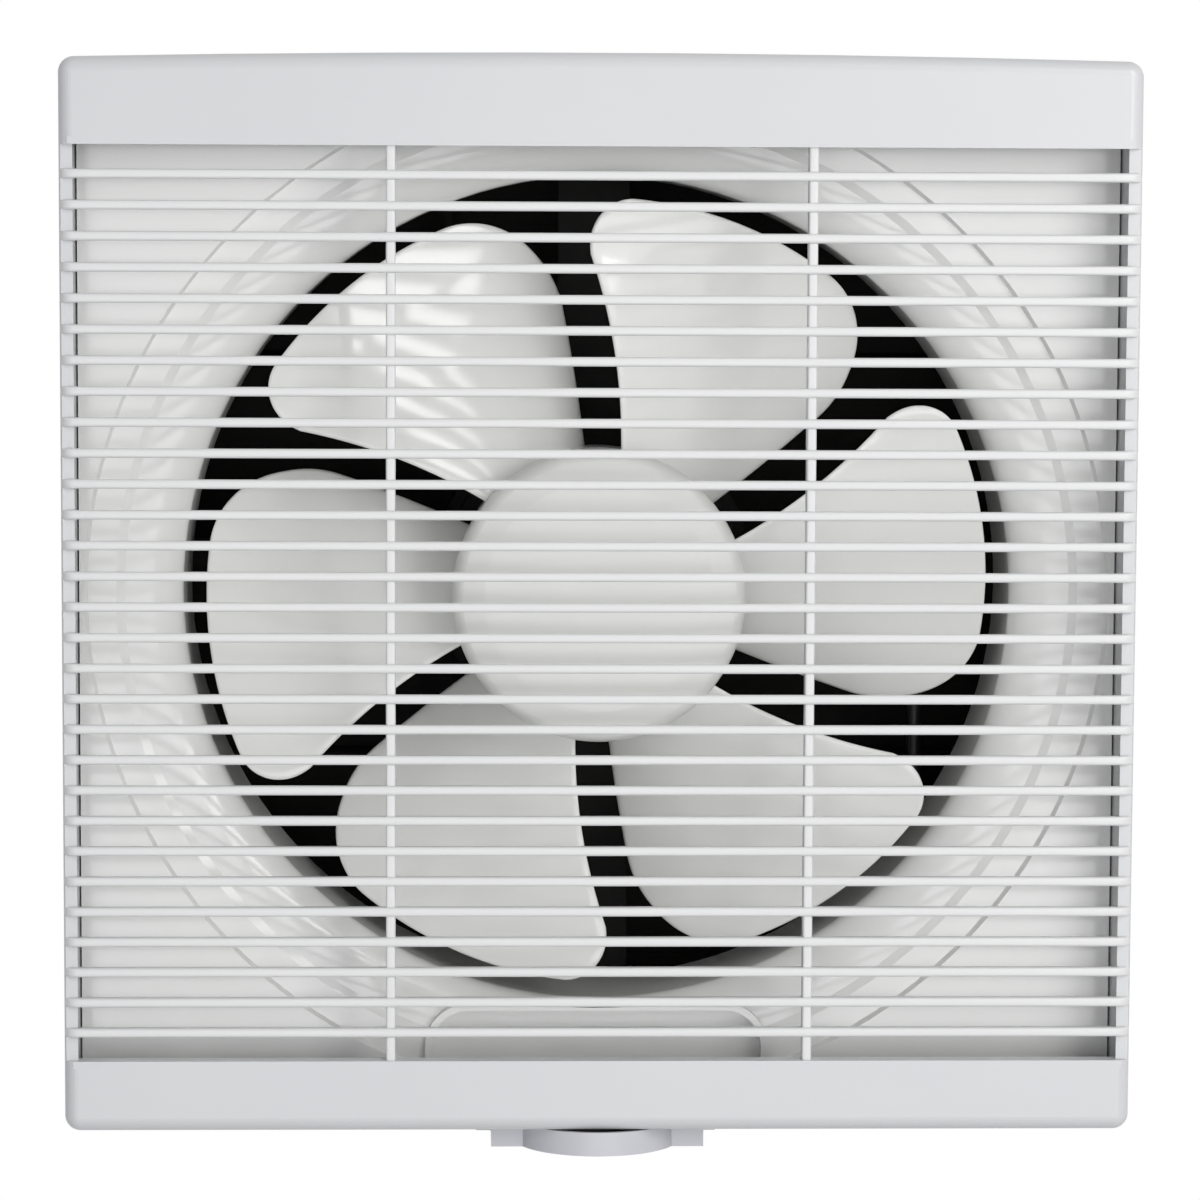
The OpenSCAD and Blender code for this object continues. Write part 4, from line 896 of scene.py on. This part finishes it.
def leadRoute():
    lead = leadShape
    exitX, exitZ = lead["boxExit"]
    up, arm, shell = lead["upright"], lead["armDepth"], lead["shellDepth"]
    return [
        (exitX, 31.0, exitZ), (exitX, 38.0, exitZ), (exitX, 46.0, exitZ + 1.5),
        (up - 2, arm - 3, -88.0), (up, arm, -70.0), (up, arm, -60.0), (up, arm, -20.0), (up, arm, -10.0),
        (up - 3.5, arm, -1.5), (up - 12, arm, 0.0), (94.0, arm, 0.0), (62.0, arm, 0.0), (54.0, arm, 0.0),
        (50.0, shell - 5, 0.0), (48.0, shell - 1, 0.0), (44.5, shell, 0.0), (38.5, shell, 0.0),
    ]


def makeMotorLead():
    lead = leadShape
    route = leadRoute()
    curve = bpy.data.curves.new("motorLead", "CURVE")
    curve.dimensions = "3D"
    curve.bevel_depth = lead["diameter"] / 2 * mm
    curve.bevel_resolution = lead["roundness"]
    curve.use_fill_caps = True
    spline = curve.splines.new("NURBS")
    spline.points.add(len(route) - 1)
    for point, (x, y, z) in zip(spline.points, route):
        point.co = (x * mm, y * mm, z * mm, 1.0)
    spline.order_u = 3
    spline.use_endpoint_u = True
    spline.resolution_u = lead["stepsBetween"]
    return newPiece("motorLead", curve, "leadJacket", "frame", ["motor_lead"])


makeMotorLead()
print("motor lead built")


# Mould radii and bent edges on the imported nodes; their meshes stay as they are

edgeRadii = {
    0.6: ["duct_sleeve", "shutter_frame"],
    0.5: ["orifice_plate", "duct_frame", "motor_front_shell", "motor_rear_shell", "capacitor"],
    0.4: ["drip_cup", "terminal_box", "terminal_box_cover", "motor_bracket", "cable_grommet",
          "flap_1", "flap_2", "flap_3", "flap_4"],
    0.3: ["cup_rails", "link_bar", "terminal_block"],
}
gentleSlopes = {"orifice_plate": 20}  # degrees; the edges of its dish's slope count as sharp too


def softenNode(node, radius):
    weld = nodes[node].modifiers.new("joinFaces", "WELD")
    weld.merge_threshold = softEdge["weldGap"] * mm
    soften(nodes[node], radius, gentleSlopes.get(node, softEdge["sharpFrom"]))


for radius, members in edgeRadii.items():
    for member in members:
        softenNode(member, radius)
print("edges softened on", sum(len(members) for members in edgeRadii.values()), "nodes")


# Floor, light and camera

# in metres and watts; the floor turns to plain white between whiteFrom and whiteAt from the fan
studio = {
    "ambient": 0.5, "airColour": (0.97, 0.985, 1.0, 1.0),
    "floorHeight": -0.9, "floorSize": 30.0, "floorTone": tone(238, 238, 238),
    "whiteFrom": 1.1, "whiteAt": 2.4, "leastWhite": 0.75,
    "key": {"place": (0.72, -1.15, 0.60), "size": (0.56, 1.0), "power": 12.0, "colour": (1.0, 0.992, 0.98)},
    "fill": {"place": (0.3, -2.6, -0.85), "size": (2.6, 2.6), "power": 57.0, "colour": (0.99, 0.995, 1.0)},
}


def addSoftbox(name, box):
    lamp = bpy.data.lights.new(name, "AREA")
    lamp.shape = "RECTANGLE"
    lamp.size, lamp.size_y = box["size"]
    lamp.energy = box["power"]
    lamp.color = box["colour"]
    holder = bpy.data.objects.new(name, lamp)
    bpy.context.scene.collection.objects.link(holder)
    holder.visible_camera = False
    holder.location = box["place"]
    aim = Vector((0.0, 0.0, 0.0)) - holder.location
    holder.rotation_euler = aim.to_track_quat("-Z", "Y").to_euler()


def whereSeen(tree, x, y):
    # 1 for what the camera, a reflection or a clear piece shows, 0 for plain lighting
    path = addNode(tree, "ShaderNodeLightPath", x, y)
    seen = addNode(tree, "ShaderNodeMath", x + 200, y, operation="MAXIMUM")
    alsoClear = addNode(tree, "ShaderNodeMath", x + 400, y, operation="MAXIMUM")
    wire(tree, path, "Is Camera Ray", seen, 0)
    wire(tree, path, "Is Glossy Ray", seen, 1)
    wire(tree, seen, "Value", alsoClear, 0)
    wire(tree, path, "Is Transmission Ray", alsoClear, 1)
    return alsoClear


def makeWorld():
    world = bpy.data.worlds.new("studioAir")
    bpy.context.scene.world = world
    world.use_nodes = True
    tree = world.node_tree
    tree.nodes.clear()
    seen = whereSeen(tree, -700, 0)
    lit = addNode(tree, "ShaderNodeBackground", 0, 100)
    lit.inputs["Color"].default_value = studio["airColour"]
    lit.inputs["Strength"].default_value = studio["ambient"]
    shown = addNode(tree, "ShaderNodeBackground", 0, -100)
    shown.inputs["Color"].default_value = (1.0, 1.0, 1.0, 1.0)
    shown.inputs["Strength"].default_value = 1.0
    mix = addNode(tree, "ShaderNodeMixShader", 250, 0)
    output = addNode(tree, "ShaderNodeOutputWorld", 500, 0)
    wire(tree, seen, "Value", mix, 0)
    wire(tree, lit, "Background", mix, 1)
    wire(tree, shown, "Background", mix, 2)
    wire(tree, mix, "Shader", output, "Surface")


def paleFloorMaterial():
    # matt, so that it keeps the fan's shadow, plain white further off, and clear from below
    material = bpy.data.materials.new("paleFloor")
    material.use_nodes = True
    tree = material.node_tree
    tree.nodes.clear()
    seen = whereSeen(tree, -900, 200)
    share = addNode(tree, "ShaderNodeMath", -250, 200, operation="MULTIPLY")
    position = addNode(tree, "ShaderNodeNewGeometry", -900, -100)
    away = addNode(tree, "ShaderNodeVectorMath", -700, -100, operation="LENGTH")
    whiter = addNode(tree, "ShaderNodeMapRange", -500, -100)
    whiter.inputs["From Min"].default_value = studio["whiteFrom"]
    whiter.inputs["From Max"].default_value = studio["whiteAt"]
    whiter.inputs["To Min"].default_value = studio["leastWhite"]
    wire(tree, position, "Position", away, 0)
    wire(tree, away, "Value", whiter, "Value")
    wire(tree, seen, "Value", share, 0)
    wire(tree, whiter, "Result", share, 1)
    matt = addNode(tree, "ShaderNodeBsdfDiffuse", -50, 100)
    matt.inputs["Color"].default_value = studio["floorTone"]
    white = addNode(tree, "ShaderNodeEmission", -50, -50)
    white.inputs["Strength"].default_value = 1.0
    mix = addNode(tree, "ShaderNodeMixShader", 200, 50)
    clear = addNode(tree, "ShaderNodeBsdfTransparent", 200, -150)
    oneSided = addNode(tree, "ShaderNodeMixShader", 420, 0)
    output = addNode(tree, "ShaderNodeOutputMaterial", 620, 0)
    wire(tree, share, "Value", mix, 0)
    wire(tree, matt, "BSDF", mix, 1)
    wire(tree, white, "Emission", mix, 2)
    wire(tree, position, "Backfacing", oneSided, 0)
    wire(tree, mix, "Shader", oneSided, 1)
    wire(tree, clear, "BSDF", oneSided, 2)
    wire(tree, oneSided, "Shader", output, "Surface")
    return material


def makeFloor():
    half = studio["floorSize"] / 2
    bm = bmesh.new()
    bm.faces.new([bm.verts.new((x, y, studio["floorHeight"]))
                  for x, y in ((-half, -half), (half, -half), (half, half), (-half, half))])
    mesh = bpy.data.meshes.new("paleFloor")
    bm.to_mesh(mesh)
    bm.free()
    mesh.materials.append(paleFloorMaterial())
    floor = bpy.data.objects.new("paleFloor", mesh)
    bpy.context.scene.collection.objects.link(floor)


# the photograph's viewing angle, in degrees; lens and sensor in millimetres, the rest in metres
cameraView = {
    "lens": 128.4, "sensor": 36.0, "distance": 1.35, "nearest": 0.01,
    "azimuth": -1.7, "elevation": 5.2, "roll": 0.25,
    "target": (0.0, -0.040, 0.0), "shift": (-0.0008, 0.001),
}


def makeCamera():
    view = cameraView
    around, up = math.radians(view["azimuth"]), math.radians(view["elevation"])
    away = Vector((math.sin(around) * math.cos(up), -math.cos(around) * math.cos(up), math.sin(up)))
    camera = bpy.data.objects.new("photoCamera", bpy.data.cameras.new("photoCamera"))
    bpy.context.scene.collection.objects.link(camera)
    camera.location = Vector(view["target"]) + away * view["distance"]
    level = (-away).to_track_quat("-Z", "Y")
    camera.rotation_euler = (level @ Quaternion((0, 0, 1), math.radians(view["roll"]))).to_euler()
    camera.data.lens = view["lens"]
    camera.data.sensor_width = view["sensor"]
    camera.data.shift_x, camera.data.shift_y = view["shift"]
    camera.data.clip_start = view["nearest"]
    bpy.context.scene.camera = camera


for boxName in ("key", "fill"):
    addSoftbox(boxName + "Softbox", studio[boxName])
makeWorld()
makeFloor()
makeCamera()
bpy.context.scene.view_settings.view_transform = "Standard"
print("studio ready")
